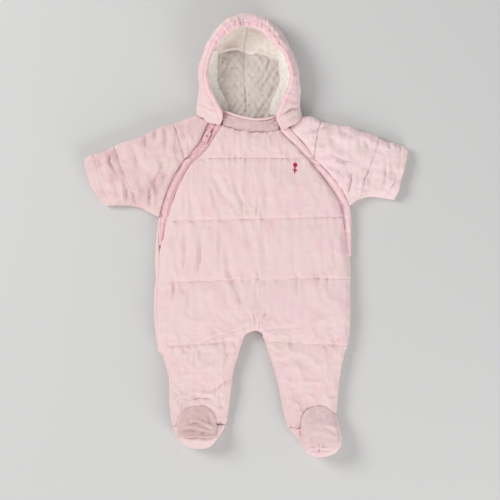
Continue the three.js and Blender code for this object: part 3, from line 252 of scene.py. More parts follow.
def woven_cotton(
    name, colour, shade, thread=0.0008, crumple=0.35, nap=0.4, patch=0.03, faded=None, drawn=(1, 1, 1)
):
    """Soft brushed cotton: a fine plain weave, a nap that catches the light, and small crisp
    crumples, which a number below 1 in drawn makes longer along that axis"""
    cotton = bpy.data.materials.new(name)
    cotton.use_nodes = True
    nodes, links = cotton.node_tree.nodes, cotton.node_tree.links
    shader = set_inputs(nodes["Principled BSDF"], {"Roughness": 0.92, "Specular IOR Level": 0.2})
    set_inputs(shader, {"Sheen Weight": 0.25, "Sheen Roughness": 0.5})
    where = cloth_colour(nodes, links, shader, colour, shade, patch, faded)
    crossing = nodes.new("ShaderNodeMath")
    crossing.operation = "ADD"
    for k, direction in enumerate("XY"):
        threads = nodes.new("ShaderNodeTexWave")
        threads.bands_direction = direction
        set_inputs(threads, {"Scale": 0.314 / thread, "Distortion": 0.6, "Detail Scale": 2})
        links.new(where.outputs["Object"], threads.inputs["Vector"])
        links.new(threads.outputs["Fac"], crossing.inputs[k])
    weave = bump_of(nodes, links, crossing.outputs[0], 0.0002, 0.25)
    fuzz = set_inputs(nodes.new("ShaderNodeTexNoise"), {"Scale": 520, "Detail": 3})
    links.new(where.outputs["Object"], fuzz.inputs["Vector"])
    napped = bump_of(nodes, links, fuzz.outputs["Fac"], 0.0006, nap, weave)
    run = set_inputs(nodes.new("ShaderNodeMapping"), {"Scale": drawn})
    links.new(where.outputs["Object"], run.inputs["Vector"])
    wrinkles = nodes.new("ShaderNodeTexNoise")
    wrinkles.noise_type = "RIDGED_MULTIFRACTAL"
    set_inputs(wrinkles, {"Scale": 75, "Detail": 2, "Roughness": 0.45, "Distortion": 0.6})
    links.new(run.outputs["Vector"], wrinkles.inputs["Vector"])
    crumpled = bump_of(nodes, links, wrinkles.outputs["Fac"], 0.0016, crumple, napped)
    links.new(crumpled.outputs["Normal"], shader.inputs["Normal"])
    return cotton


shell_cotton = woven_cotton("shell_cotton", SHELL_PINK, SHELL_SHADE, faded=SHELL_CREAM)
back = cloth_from(["back_panel"], "back_cloth", 2)
back_places = places_of(back)
raise_cloth(back, 0.7 * lumps(back_places, 26, 3) + 0.35 * lumps(back_places, 9, 4), upper_side(back))
back.data.materials.append(shell_cotton)
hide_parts("back_panel")
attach(back, "suit")


# Front panel. Padded cotton from the neck to the ankles, quilted across at chest, waist, hip and
# thighs; the cloth between the seams falls in soft upright creases, most of them from the hip seam.
QUILTING_LINES = {
    "chest": [(-76, 120.5), (-20, 120), (60, 120.5), (92, 121)],
    "waist": [(-124, 23.5), (-52, 24.5), (17, 27.2), (100, 29), (151, 30)],
    "hip": [(-136, -74), (-77, -70), (-26, -67.5), (51, -65.5), (161, -66)],
    "right_thigh": [(-135, -174), (-81, -172.5), (-31, -166), (-7, -163)],
    "left_thigh": [(29.5, -165), (65, -167.5), (112, -168), (156.5, -170)],
}
# a row for each crease: its line, width and depth in millimetres, and lean. Above 0 in lean the
# cloth stands higher on the line's left; a depth below 0 is a ridge
FRONT_CREASES = [
    ([(-92, 68), (-91, 46), (-92, 24)], 2.6, -1.8, 0.3),
    ([(-80, 60), (-82, 30)], 3.5, 1.2, 0.2),
    ([(-63, 85), (-56, 60), (-50, 30)], 3.2, -1.9, 0.4),
    ([(-56, 104), (-40, 72), (-24, 44)], 5.5, 2.4, 0.6),
    ([(-33, 62), (-22, 40), (-16, 28)], 3, -1.4, 0.4),
    ([(-21, 98), (-12, 68), (2, 33)], 4, 1.9, -0.4),
    ([(-3, 50), (1, 28)], 2.4, -1.8, 0.3),
    ([(-4, 112), (2, 122)], 3, 1.2, 0.3),
    ([(19, 64), (17, 27)], 3, 1.3, 0.2),
    ([(30, 88), (36, 50), (34, 28)], 5, 1.2, 0.2),
    ([(52, 70), (56, 36)], 4, 1.1, -0.2),
    ([(84, 84), (88, 40)], 5, 1.2, 0.3),
    ([(112, 70), (118, 30)], 5, 1.3, -0.3),
    ([(-92, 20), (-95, -36), (-104, -70)], 4, 2.4, 0.3),
    ([(-107, -36), (-106, -66)], 3, 1.3, 0.2),
    ([(-72, 12), (-72, -32), (-76, -58), (-77, -72)], 3.6, 2.8, -0.5),
    ([(-62, 20), (-60, -20)], 3, -1.2, 0.2),
    ([(-50, 22), (-46.5, 0), (-46, -40), (-45, -66)], 2.8, -2.7, 0.3),
    ([(-37, 14), (-30, -20), (-27, -54), (-13, -84), (-3, -114), (6, -144)], 4.8, 2.4, -0.6),
    ([(-20, -58), (-6, -86)], 3.4, 1.5, -0.4),
    ([(-112, 12), (-112, -40)], 5, 1.4, 0.2),
    ([(-12, 20), (-10, -10)], 4, 1.1, 0.3),
    ([(5, 22), (8, -20), (6, -50)], 5, 1.0, -0.3),
    ([(72, 24), (73, -20), (75, -64)], 3, 1.6, 0.2),
    ([(27, 20), (30, -30), (28, -62)], 5, 1.2, -0.2),
    ([(50, 16), (54, -16)], 5, 1.0, 0.2),
    ([(19, -48), (18.5, -74)], 2.4, 1.6, 0.1),
    ([(111, -46), (113, -80), (122, -110)], 3.4, 1.9, 0.4),
    ([(101, -50), (101, -70)], 2.6, -1.4, 0.2),
    ([(135, 6), (138, -40)], 5, 1.3, 0.2),
    ([(126, -52), (127, -92)], 3, 1.3, -0.2),
    ([(-110, -72), (-115, -107)], 3.4, 1.7, 0.3),
    ([(-92, -76), (-94, -96), (-99, -118)], 3, -1.5, 0.2),
    ([(-77, -72), (-75, -108)], 3.4, 1.6, -0.3),
    ([(-58, -72), (-60, -96)], 3, 1.1, 0.2),
    ([(-33, -70), (-33, -86), (-26, -120)], 3.8, 1.7, 0.3),
    ([(0, -110), (8, -132), (10, -146)], 2.4, 1.8, 0.3),
    ([(12.5, -116), (14, -148)], 2.2, 1.7, 0),
    ([(20, -124), (19, -147)], 2.2, 1.3, 0.2),
    ([(34, -112), (26, -130), (23, -147)], 2.6, 1.9, -0.3),
    ([(44, -120), (32, -142)], 2.6, 1.2, -0.3),
    ([(14, -68), (15, -96)], 3.4, 1.2, 0.2),
    ([(60, -70), (62, -104), (58, -126)], 4, 1.5, 0.2),
    ([(78, -70), (80, -96)], 3, 1.1, 0.3),
    ([(92, -70), (96, -118)], 4.5, 1.3, -0.2),
    ([(-73, -168), (-62, -163), (-31, -155), (-4, -148)], 3.2, 2.2, 0.5),
    ([(27, -148), (49, -147), (86, -139)], 3.6, 1.9, 0.5),
    ([(-98, -160), (-96.5, -199)], 2.8, 1.8, 0.2),
    ([(-80.5, -174), (-79.5, -206)], 2.8, 1.8, 0),
    ([(-73, -170), (-70, -196)], 2.8, 1.3, 0),
    ([(-22, -170), (-38, -205)], 4, 1.6, 0.2),
    ([(-115, -223), (-88, -224), (-60, -221)], 4.5, 1.4, 0.3),
    ([(-26, -217), (-31, -226), (-50, -241)], 4, 1.6, 0.4),
    ([(-121, -233), (-112.5, -244), (-102, -256)], 4, 2.6, 0.5),
    ([(-103, -256), (-81, -250), (-50, -254), (-38, -251)], 4.6, 2.4, 0.5),
    ([(-42, -262), (-31, -270)], 3.4, 1.4, 0),
    ([(34, -171), (57, -187)], 3.4, 1.6, 0.3),
    ([(40, -191), (71, -201)], 4, 1.4, 0.3),
    ([(48, -225), (81, -239)], 3.6, 1.7, 0.4),
    ([(91, -168), (92, -184)], 2.6, 1.4, 0),
    ([(113, -169), (114, -186)], 2.6, 1.6, 0),
    ([(126, -169), (125, -190)], 2.6, 1.6, 0.2),
    ([(60, -262), (83, -270)], 3.6, 1.6, 0.3),
    ([(100, -215), (112, -240)], 6, 1.2, 0),
]


def beside(places, line):
    """Seen from above: how far each place is from a line, on which side, how far along, and the length"""
    nearest = np.full(len(places), np.inf)
    side = np.ones(len(places))
    run = np.zeros(len(places))
    passed = 0.0
    for start, end in zip(line, line[1:]):
        start, way = np.array(start, float), np.array(end, float) - np.array(start, float)
        length = np.hypot(*way)
        offset = places[:, :2] - start
        share = np.clip(offset @ way / length**2, 0, 1)
        gap = np.hypot(*(offset - share[:, None] * way).T)
        closer = gap < nearest
        nearest = np.where(closer, gap, nearest)
        side = np.where(closer, np.sign(way[0] * offset[:, 1] - way[1] * offset[:, 0]), side)
        run = np.where(closer, passed + share * length, run)
        passed += length
    return nearest, side, run, passed


def faded_ends(run, length, ends):
    """1 along a line, going to 0 over that share of it at both ends"""
    return eased(np.clip(np.minimum(run, length - run) / (ends * length), 0, 1))


def crease_heights(places, line, width, depth, lean, ends=0.35):
    """A fold: a trough that fades out at its ends, with the cloth pushed up beside it"""
    away, side, run, length = beside(places, line)
    u = away / width
    trough = np.exp(-1.4 * u**1.4)
    banks = 0.5 * np.exp(-((u - 1.7) ** 2) / 0.7) * (1 + lean * side)
    return depth * (banks - trough) * faded_ends(run, length, ends)


def tuck_heights(places, line, reach, depth):
    """A crisp fold that stands high on the line's left and drops sharply at the line"""
    away, side, run, length = beside(places, line)
    fade = faded_ends(run, length, 0.3) * np.exp(-((away / (4 * reach)) ** 2))
    return depth * fade * np.where(side > 0, np.exp(-away / reach), -0.7 * np.exp(-away / (0.5 * reach)))


def pucker_heights(places, line, reach, spacing, depth, seed):
    """Small gathers that run out from a seam, uneven in length and spacing"""
    away, side, run, _ = beside(places, line)
    still = np.zeros(len(places))
    wave = lumps(np.column_stack([run, 0.2 * away * side, still]), spacing, seed)
    far = reach * (1 + 0.7 * lumps(np.column_stack([run, still, still]), spacing * 1.7, seed + 1))
    held_down = 1 - 0.8 * np.exp(-((away / 1.6) ** 2))
    return depth * wave * np.exp(-((away / np.maximum(far, 3)) ** 1.4)) * held_down


def seam_heights(places, line, width, depth):
    """The narrow groove that a line of stitches pulls into the padding"""
    return -depth * np.exp(-((beside(places, line)[0] / width) ** 2))


# a row for each tuck: its line, its reach and its height in millimetres
FRONT_TUCKS = [
    ([(-28.1, -26.7), (-24.9, -60.1), (-16.6, -78.9), (-6.1, -101.9), (2.2, -127), (8.5, -141.6)], 5, 1.2),
    ([(-92, -38), (-85.5, -66)], 2.5, 1.3),
    ([(-50, -28), (-48, -48), (-45.8, -66.4)], 2.5, 1.4),
    ([(-102.2, -34), (-103.3, -66)], 2.5, 1.1),
    ([(-68, 18), (-70, -20), (-73, -60)], 3, 1.4),
    ([(-105.4, -78), (-112, -106)], 3, 1.5),
    ([(-92.8, -74), (-97, -102)], 3, 1.2),
    ([(-78.2, -73), (-78.4, -98)], 2.5, 1.2),
    ([(-36, -76), (-36, -106)], 3, 1.2),
    ([(14, -86), (20, -112), (17, -128)], 3.5, 1.2),
    ([(111.9, -50), (115, -78.9), (120.3, -100)], 3, 1.7),
    ([(125.5, -78), (127.6, -112)], 3, 1.1),
    ([(130.7, -42), (129.7, -66.4)], 2.5, 1.1),
    ([(10, -118), (14, -146)], 2, 1.5),
    ([(18.9, -146), (21, -122)], 2, 1.4),
    ([(26.2, -147), (34, -128)], 2.5, 1.4),
    ([(0, -147), (-25, -150), (-45.8, -156.2), (-72, -168)], 3.5, 1.6),
    ([(72, -141), (46.1, -145.8), (24, -149)], 3.5, 1.5),
    ([(-122, -235), (-106.4, -250.3), (-90, -257)], 4, 2),
    ([(-96, -257), (-73, -251.3), (-46, -254)], 4, 1.8),
    ([(-20, -223), (-31.2, -227.3), (-47.9, -239.8), (-60, -247)], 5, 1.1),
    ([(-122, -225), (-91.8, -225), (-66, -228)], 3.5, 1.1),
    ([(-81, -174), (-80, -206)], 2.5, 1.3),
    ([(-96.5, -166), (-96, -200)], 2.5, 1.3),
    ([(33, -164), (56.5, -171), (73, -187)], 3.5, 1.3),
    ([(41, -192), (69.1, -206), (88, -209)], 4, 1.3),
    ([(46, -221), (75.3, -233.5), (94, -239)], 4, 1.5),
    ([(56, -253), (84, -264)], 4, 1.3),
    ([(112, -172), (114, -196)], 2.5, 1.2),
    ([(-91.5, 66), (-90, 28)], 2.5, 1.2),
    ([(-62, 84), (-54, 58), (-49, 30)], 2.5, 1.1),
    ([(-12, 78), (-4, 54), (3, 32)], 3, 1.2),
]
# where the front is sewn to the back at the wearer's right side, and how far it laps over the seam
SIDE_SEAM = [
    (-134.6, -10), (-133.6, -47.6), (-137.3, -74.7), (-138.2, -110.3), (-136.7, -152), (-134.6, -180),
]
SEAM_LAP = 2.6
NECK_SEAM = [(-37, 173), (-10, 168.5), (15, 166), (52, 166)]
LEGS_FROM = -95
front = cloth_from(["front_panel"], "front_cloth", 3)
front_places = places_of(front)
heights = 0.9 * lumps(front_places, 34, 11) + 0.6 * lumps(front_places * (1, 0.5, 1), 10, 12)
upright = 1.1 * small_folds(front_places, 15, (1, 0.38, 1), 13)
upright += 0.8 * small_folds(front_places, 8, (1, 0.45, 1), 14)
heights += upright
legs = np.clip((LEGS_FROM - front_places[:, 1]) / 30, 0, 1)
on_legs = 1.7 * small_folds(front_places, 19, (1, 0.8, 1), 16)
on_legs += 1.1 * small_folds(front_places, 10, 1, 17)
heights += legs * on_legs
for number, line in enumerate(QUILTING_LINES.values()):
    away = beside(front_places, line)[0]
    heights += 1.5 * np.exp(-((away / 6.5) ** 2)) + seam_heights(front_places, line, width=1.3, depth=0.7)
    heights += pucker_heights(front_places, line, reach=20, spacing=6, depth=1.3, seed=20 + number)
    heights += pucker_heights(front_places, line, reach=8, spacing=3.4, depth=0.6, seed=26 + number)
for crease in FRONT_CREASES:
    heights += crease_heights(front_places, *crease)
heights += pucker_heights(front_places, NECK_SEAM, reach=9, spacing=3.2, depth=0.9, seed=31)
for tuck in FRONT_TUCKS:
    heights += tuck_heights(front_places, *tuck)
raise_cloth(front, heights, upper_side(front))
front_places = places_of(front)
front_places[:, 0] -= SEAM_LAP * np.clip(1.4 - beside(front_places, SIDE_SEAM)[0] / 5, 0, 1)
put_places(front, front_places)
front.data.materials.append(
    woven_cotton("front_cotton", SHELL_PINK, SHELL_SHADE, crumple=0.5, faded=SHELL_CREAM, drawn=(1, 0.4, 1))
)
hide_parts("front_panel")
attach(front, "suit")


# Sleeves. Raglan sleeves of the same padded cotton, each a flat tube that is quilted twice across
# and hemmed at the cuff; they lie crumpled, with deeper folds running to the underarm.
# each sleeve's pink is painted: the right one darker, painted shade, and the left one lighter, painted light,
# for how the light falls on the two sides
SLEEVE_PINK_PAINTED_LIGHT = {"sleeve_right": dyed(230, 200, 200), "sleeve_left": dyed(241, 215, 216)}
SLEEVE_SHADE_PAINTED_LIGHT = {"sleeve_right": dyed(221, 187, 190), "sleeve_left": dyed(238, 208, 211)}
SLEEVE_QUILTING = {
    "sleeve_right": [
        [(-113.5, 177), (-107, 157.5), (-96.5, 122)],
        [(-206, 141), (-197.5, 115.5), (-189, 95), (-181, 76.5), (-172.5, 47)],
    ],
    "sleeve_left": [
        [(116.5, 180), (111, 159.5), (105.5, 121)],
        [(208, 154), (204, 137.5), (192.5, 106.5), (184.5, 88.5), (178, 60)],
    ],
}
CUFF_HEMS = {
    "sleeve_right": [(-239, 129), (-231.5, 100), (-224, 75), (-209, 48)],
    "sleeve_left": [(241, 143), (240.5, 115), (233, 86), (216, 59)],
}
SLEEVE_CREASES = {
    "sleeve_right": [
        ([(-220, 131), (-213.5, 126), (-211, 114), (-200, 99)], 3.2, 2.8, -0.6),
        ([(-229, 127), (-228, 108), (-220, 90)], 4, 2.2, 0.4),
        ([(-192, 96), (-187, 72), (-185, 50)], 3.2, 2.4, -0.4),
        ([(-176, 74), (-172, 50)], 3.2, 2, 0.3),
        ([(-172, 98), (-162, 76), (-156, 60)], 6.4, 3.2, 0.3),
        ([(-156, 84), (-149, 66), (-150, 38)], 3.6, 3, 0.5),
        ([(-144, 82), (-137, 94), (-128, 108)], 4, 2.5, 0.4),
        ([(-156, 162), (-157, 138)], 4, 2.2, 0.3),
        ([(-139, 169), (-141, 142)], 4, 2.5, -0.3),
        ([(-126, 172), (-124, 150), (-126, 128)], 4.8, 2.2, 0.3),
        ([(-180, 148), (-172, 124), (-166, 104)], 5.6, 2, 0.3),
        ([(-133, 128), (-128, 104), (-132, 88)], 4.8, 2, -0.3),
        ([(-116, 120), (-124, 96), (-134, 74)], 4, 2, -0.4),
        ([(-100, 172), (-94, 152), (-86, 140)], 4, 1.5, 0.2),
        ([(-206, 88), (-200, 64), (-202, 52)], 4, 2, 0.3),
    ],
    "sleeve_left": [
        ([(110, 117), (120, 124.5), (133, 125.5), (149, 119.5), (169, 118), (173, 111)], 4.6, 1.6, 0.2),
        ([(164, 104), (164, 88), (158, 62)], 3.6, 3.1, -0.4),
        ([(135, 176), (125, 170), (113, 166), (84, 161)], 3.2, 1.9, 0.4),
        ([(183, 156), (188, 143), (193, 137)], 3.2, 2, 0.3),
        ([(176, 158), (178, 146), (174, 136)], 4, 1.4, 0.2),
        ([(214, 132), (217, 107), (217, 88), (208, 70)], 3.6, 1.9, 0.3),
        ([(222, 148), (226, 134)], 3.2, 2.2, 0.3),
        ([(196, 92), (191, 70)], 3.2, 1.6, 0.2),
        ([(124, 112), (142, 104), (152, 92)], 5.6, 1.6, 0.4),
        ([(140, 168), (156, 160), (166, 150)], 5.6, 1.2, 0.3),
        ([(128, 152), (146, 140)], 5.6, 1.1, 0.3),
        ([(226, 120), (230, 92)], 4, 1.4, 0.2),
        ([(150, 84), (148, 66)], 4, 1.5, 0.2),
    ],
}
SLEEVE_TUCKS = {
    "sleeve_right": [
        ([(-218, 136), (-210.8, 127.7), (-212, 116.9), (-205.8, 105), (-197, 96)], 4, 3.2),
        ([(-205.2, 139.6), (-197.4, 114.5), (-187.9, 87.1), (-181.9, 66.8), (-175.9, 51.3)], 3.5, 1.9),
        ([(-188, 88), (-180, 76), (-170, 52)], 3, 1.6),
        ([(-157, 162), (-156.5, 142), (-154, 128)], 3.5, 1.4),
        ([(-175, 146), (-169, 112), (-158, 80), (-154, 62)], 6, 1.9),
        ([(-137.5, 98), (-143, 84), (-149.5, 70), (-151, 56), (-148, 42)], 4, 3.4),
        ([(-128, 120), (-132, 104), (-141, 88)], 4, 1.6),
        ([(-146, 165), (-147, 148)], 3, 1.3),
        ([(-133, 171), (-131, 150), (-134, 134)], 4, 1.4),
        ([(-234, 122), (-228, 96), (-216, 68)], 3, 1.2),
        ([(-200, 76), (-196, 62), (-196, 50)], 3, 1.4),
    ],
    "sleeve_left": [
        ([(110, 116), (120, 123), (133, 121), (149, 116.5), (164, 116.5), (172, 112), (174, 104)], 8, 2.7),
        ([(166, 106), (164, 88), (157, 60)], 5, 1.2),
        ([(217, 136), (218.5, 107), (217, 84), (208, 66)], 3.5, 1.5),
        ([(184, 156), (189, 143), (195, 134)], 3.5, 1.5),
        ([(152, 112), (144, 98), (146, 80)], 4, 1.5),
        ([(112, 138), (124, 143), (138, 146)], 5, 0.8),
        ([(113, 164), (122, 170), (135, 175)], 3.5, 1.3),
        ([(233, 132), (234, 112), (228, 92)], 3, 1.1),
    ],
}
for side, seed in (("right", 41), ("left", 51)):
    node = f"sleeve_{side}"
    sleeve = cloth_from([node], f"sleeve_cloth_{side}", 3)
    places = places_of(sleeve)
    heights = 1.1 * lumps(places, 22, seed) + 0.6 * lumps(places, 10, seed + 1)
    folds = 1.2 * small_folds(places, 17, (1, 0.5, 1), seed + 8)
    folds += 0.6 * small_folds(places, 9, 1, seed + 9)
    heights += folds
    for number, line in enumerate(SLEEVE_QUILTING[node]):
        puff = 0.9 * np.exp(-((beside(places, line)[0] / 5) ** 2))
        heights += seam_heights(places, line, width=1.5, depth=2.6) + puff
        heights += pucker_heights(places, line, reach=16, spacing=6, depth=1.4, seed=seed + 2 + 2 * number)
    hem = CUFF_HEMS[node]
    heights += seam_heights(places, hem, width=1.6, depth=1.3)
    heights += pucker_heights(places, hem, reach=13, spacing=5.5, depth=1.3, seed=seed + 7)
    for crease in SLEEVE_CREASES[node]:
        heights += crease_heights(places, *crease)
    for tuck in SLEEVE_TUCKS[node]:
        heights += tuck_heights(places, *tuck)
    raise_cloth(sleeve, heights, upper_side(sleeve))
    # each sleeve gets its own copy of the cotton, coloured with its side's painted light and shade
    sleeve.data.materials.append(
        woven_cotton(f"{node}_cotton", SLEEVE_PINK_PAINTED_LIGHT[node], SLEEVE_SHADE_PAINTED_LIGHT[node], crumple=0.5, faded=SHELL_CREAM)
    )
    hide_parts(node)
    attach(sleeve, "suit")


# Zips. Two long zips with pink twill tapes sewn between front panel and sleeves; their teeth are a
# coil, closed all the way, and only the upper part of the right one shows beside its placket.
# the tape and its coil are painted paler than their own pink: painted light where they lie sunk between
# sleeve and placket
TAPE_PINK_PAINTED_LIGHT = dyed(250, 220, 224)
TAPE_SHADE_PAINTED_LIGHT = dyed(245, 209, 215)
COIL_PINK_PAINTED_LIGHT = dyed(244, 196, 204)
COVER_PINK = dyed(243, 208, 211)
COVER_SHADE = dyed(240, 198, 203)
TAPE_RISE = 2.4
OPEN_RISE = 2
OPEN_AT = 131
# below this height in the picture, in millimetres, the placket's cloth covers the tape and its teeth
# aren't built
ZIP_END = {"zip_tape_right": -12, "zip_tape_left": 9}
# one tooth: how far each of its places is across the zip and above its level, and how thick it is
TOOTH_PITCH = 1.9
TOOTH_SLANT = 0.45
TOOTH_LEVEL = 10.1
TOOTH_ACROSS = [(-0.6, 0.2), (0.6, 1.2), (2.2, 1.4), (3.1, 0.2)]
TOOTH_RADII = [0.5, 0.75, 0.75, 0.5]
ZIP_LINES = {
    "zip_tape_right": [
        (-53, 170), (-56.5, 161.5), (-62, 150.5), (-69, 139.5), (-79, 129), (-84, 123.5), (-89.5, 118),
        (-96, 110.5), (-108, 89.5), (-116.5, 71.5), (-123.5, 51), (-127.5, 35.5), (-129.5, 28),
        (-130, 22.5), (-131, 17), (-132.5, 4), (-134, -12),
    ],
    "zip_tape_left": [
        (61, 164), (68, 157.5), (79.5, 146.5), (89, 135), (94, 129), (98.5, 123), (103.5, 117),
        (110.5, 110), (129.5, 89.5), (142, 72), (151.5, 54), (155, 43.5), (156, 36.5), (157, 30.5),
        (158, 24.5), (158.5, 7), (159.5, -14), (160.5, -28),
    ],
}


def centres_of(piece):
    """The middles of its faces in millimetres"""
    return rows_of(piece.data.polygons, "center") * 1000


def evenly(line, pitch):
    """Places and directions along a line, one every pitch"""
    line = np.array(line, float)
    lengths = np.hypot(*np.diff(line, axis=0).T)
    stops = np.concatenate([[0], np.cumsum(lengths)])
    spots = np.arange(pitch / 2, stops[-1], pitch)
    found = np.column_stack([np.interp(spots, stops, line[:, k]) for k in range(2)])
    ahead = np.column_stack([np.interp(spots + pitch / 2, stops, line[:, k]) for k in range(2)])
    behind = np.column_stack([np.interp(spots - pitch / 2, stops, line[:, k]) for k in range(2)])
    ways = ahead - behind
    return found, ways / np.hypot(*ways.T)[:, None]


def joined_piece(name, vertices, faces):
    """An object from places in millimetres"""
    mesh = bpy.data.meshes.new(name)
    mesh.from_pydata([tuple(c / 1000 for c in v) for v in vertices], [], faces)
    mesh.validate()
    bm = bmesh.new()
    bm.from_mesh(mesh)
    bmesh.ops.recalc_face_normals(bm, faces=bm.faces)
    bm.to_mesh(mesh)
    bm.free()
    mesh.shade_smooth()
    return placed(name, mesh)


def zip_rise(y):
    """How far the tape lies above its solid, the most where the zip comes out from under the placket"""
    return TAPE_RISE + OPEN_RISE * np.exp(-(((y - OPEN_AT) / 8) ** 2))


def thread_rings(vertices, faces, path, radii, sides=6):
    """Adds one closed thread along a path of places to a joined piece"""
    first = len(vertices)
    path = [Vector(p) for p in path]
    for k, centre in enumerate(path):
        way = (path[min(k + 1, len(path) - 1)] - path[max(k - 1, 0)]).normalized()
        across = way.cross(Vector((0, 0, 1))).normalized()
        up = across.cross(way)
        for s in range(sides):
            turn = 2 * math.pi * s / sides
            vertices.append(centre + radii[k] * (math.cos(turn) * across + math.sin(turn) * up))
    for k in range(len(path) - 1):
        for s in range(sides):
            a, b = first + k * sides + s, first + k * sides + (s + 1) % sides
            faces.append((a, b, b + sides, a + sides))
    faces.append(tuple(range(first + sides - 1, first - 1, -1)))
    faces.append(tuple(range(len(vertices) - sides, len(vertices))))


def surface_of(pieces):
    """The pieces' faces, to be met by rays"""
    vertices, faces = [], []
    for piece in pieces:
        first = len(vertices)
        vertices.extend(v.co.copy() for v in piece.data.vertices)
        faces.extend([first + i for i in p.vertices] for p in piece.data.polygons)
    return BVHTree.FromPolygons(vertices, faces)


def top_at(surface, x, y):
    """The cloth's height there in millimetres, or None beside it"""
    hit = surface.ray_cast(Vector((x / 1000, y / 1000, 0.2)), Vector((0, 0, -1)))[0]
    return None if hit is None else hit.z * 1000


def plastic(name, colour, roughness):
    """Moulded or enamelled surface, faintly uneven"""
    finish = bpy.data.materials.new(name)
    finish.use_nodes = True
    nodes, links = finish.node_tree.nodes, finish.node_tree.links
    shader = set_inputs(nodes["Principled BSDF"], {"Roughness": roughness})
    where = cloth_colour(nodes, links, shader, colour, darker(colour, 0.85), 0.006)
    grain = set_inputs(nodes.new("ShaderNodeTexNoise"), {"Scale": 900})
    links.new(where.outputs["Object"], grain.inputs["Vector"])
    uneven = bump_of(nodes, links, grain.outputs["Fac"], 0.0001, 0.2)
    links.new(uneven.outputs["Normal"], shader.inputs["Normal"])
    return finish


# the tape and coil finishes carry the painted light
tape_twill_painted_light = woven_cotton("tape_twill_painted_light", TAPE_PINK_PAINTED_LIGHT, TAPE_SHADE_PAINTED_LIGHT, thread=0.001, crumple=0.1, nap=0.2, patch=0.01)
coil_finish_painted_light = plastic("coil_finish_painted_light", COIL_PINK_PAINTED_LIGHT, 0.45)
tape_cover = woven_cotton("tape_cover", COVER_PINK, COVER_SHADE, crumple=0.2, patch=0.012)
for side in ("right", "left"):
    node = f"zip_tape_{side}"
    tape = cloth_from([node], f"tape_{side}", 2, firm=0.8)
    raise_cloth(tape, zip_rise(places_of(tape)[:, 1]), upper_side(tape))
    tape.data.materials.append(tape_twill_painted_light)
    tape.data.materials.append(tape_cover)
    covered = centres_of(tape)[:, 1] < ZIP_END[node]
    tape.data.polygons.foreach_set("material_index", covered.astype(np.int32))
    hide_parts(node)
    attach(tape, "suit")
    vertices, faces = [], []
    spots, ways = evenly(ZIP_LINES[node], TOOTH_PITCH)
    for k, ((x, y), (wx, wy)) in enumerate(zip(spots, ways)):
        if y < ZIP_END[node] + 2:
            break
        out = 1 if k % 2 else -1
        path = []
        for r, lift in TOOTH_ACROSS:
            tooth_x = x + out * r * wy + TOOTH_SLANT * r * wx
            tooth_y = y - out * r * wx + TOOTH_SLANT * r * wy
            path.append((tooth_x, tooth_y, TOOTH_LEVEL + zip_rise(y) + lift))
        thread_rings(vertices, faces, path, TOOTH_RADII)
    coil = joined_piece(f"tape_{side}_teeth", vertices, faces)
    coil.data.materials.append(coil_finish_painted_light)
    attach(coil, "suit")


# Sliders and pull tabs. Die-cast metal with pink enamel, its edges a little rounded; each slider
# holds its tab by a bridge.
ENAMEL_PINK = dyed(236, 188, 198)
enamel = plastic("pink_enamel", ENAMEL_PINK, 0.32)
set_inputs(enamel.node_tree.nodes["Principled BSDF"], {"Coat Weight": 0.4, "Coat Roughness": 0.2})
for node in ("slider_right", "slider_left", "pull_tab_right", "pull_tab_left"):
    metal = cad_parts[node]
    softened = metal.modifiers.new("cast_edges", "BEVEL")
    softened.width = 0.0003
    softened.segments = 2
    softened.limit_method = "ANGLE"
    for material_slot in metal.material_slots:
        material_slot.material = enamel


# Plackets. Long strips of pink cotton, folded double and topstitched along both edges; they are
# sewn to the front panel and lie over the zips.
# the right placket's pink is painted darker than the left one's: painted shade on the right, painted light on
# the left
PLACKET_PINK_PAINTED_LIGHT = {"placket_right": dyed(238, 200, 205), "placket_left": dyed(243, 212, 214)}
PLACKET_SHADE_PAINTED_LIGHT = {"placket_right": dyed(231, 188, 195), "placket_left": dyed(240, 202, 207)}
PLACKET_CREASES = {
    "placket_right": [
        ([(-101, 119), (-91, 123), (-80, 124)], 2.6, 2.2, 0.6),
        ([(-112, 88), (-106, 98)], 2.4, 1.0, 0.3),
        ([(-122, 74), (-112, 80)], 4, 0.7, 0.3),
        ([(-133, 30), (-124, 34)], 4, 0.8, 0.3),
        ([(-134, 8), (-128, 0)], 4, 0.9, 0.3),
    ],
    "placket_left": [
        ([(98, 116), (107, 113), (117, 110)], 1.9, 3, 0.6),
        ([(96, 122), (104, 122), (110, 119)], 2.2, 1.6, 0.4),
        ([(84, 147), (80, 141)], 2.4, 0.8, 0.3),
        ([(126, 86), (136, 82)], 4, 0.7, 0.3),
        ([(152, 40), (162, 36)], 4, 0.7, 0.3),
    ],
}
PLACKET_SEAMS = (-3.9, 3.9)


def moved_in(line, distance):
    """A line beside another one, to its left"""
    line = np.array(line, float)
    ways = np.gradient(line, axis=0)
    ways /= np.hypot(*ways.T)[:, None]
    return np.column_stack([line[:, 0] - ways[:, 1] * distance, line[:, 1] + ways[:, 0] * distance])


for side, seed in (("right", 61), ("left", 66)):
    node = f"placket_{side}"
    strip = cloth_from([node], f"placket_cloth_{side}", 3, firm=0.5)
    places = places_of(strip)
    heights = 0.6 * lumps(places, 17, seed) + 0.4 * lumps(places, 7, seed + 1)
    for edge in PLACKET_SEAMS:
        heights += seam_heights(places, moved_in(ZIP_LINES[f"zip_tape_{side}"], edge), width=1, depth=0.4)
    for crease in PLACKET_CREASES[node]:
        heights += crease_heights(places, *crease)
    raise_cloth(strip, heights, upper_side(strip))
    # each placket's copy of the cotton carries its side's painted light and shade
    strip.data.materials.append(
        woven_cotton(f"{node}_cotton", PLACKET_PINK_PAINTED_LIGHT[node], PLACKET_SHADE_PAINTED_LIGHT[node], crumple=0.2, patch=0.012)
    )
    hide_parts(node)
    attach(strip, "suit")
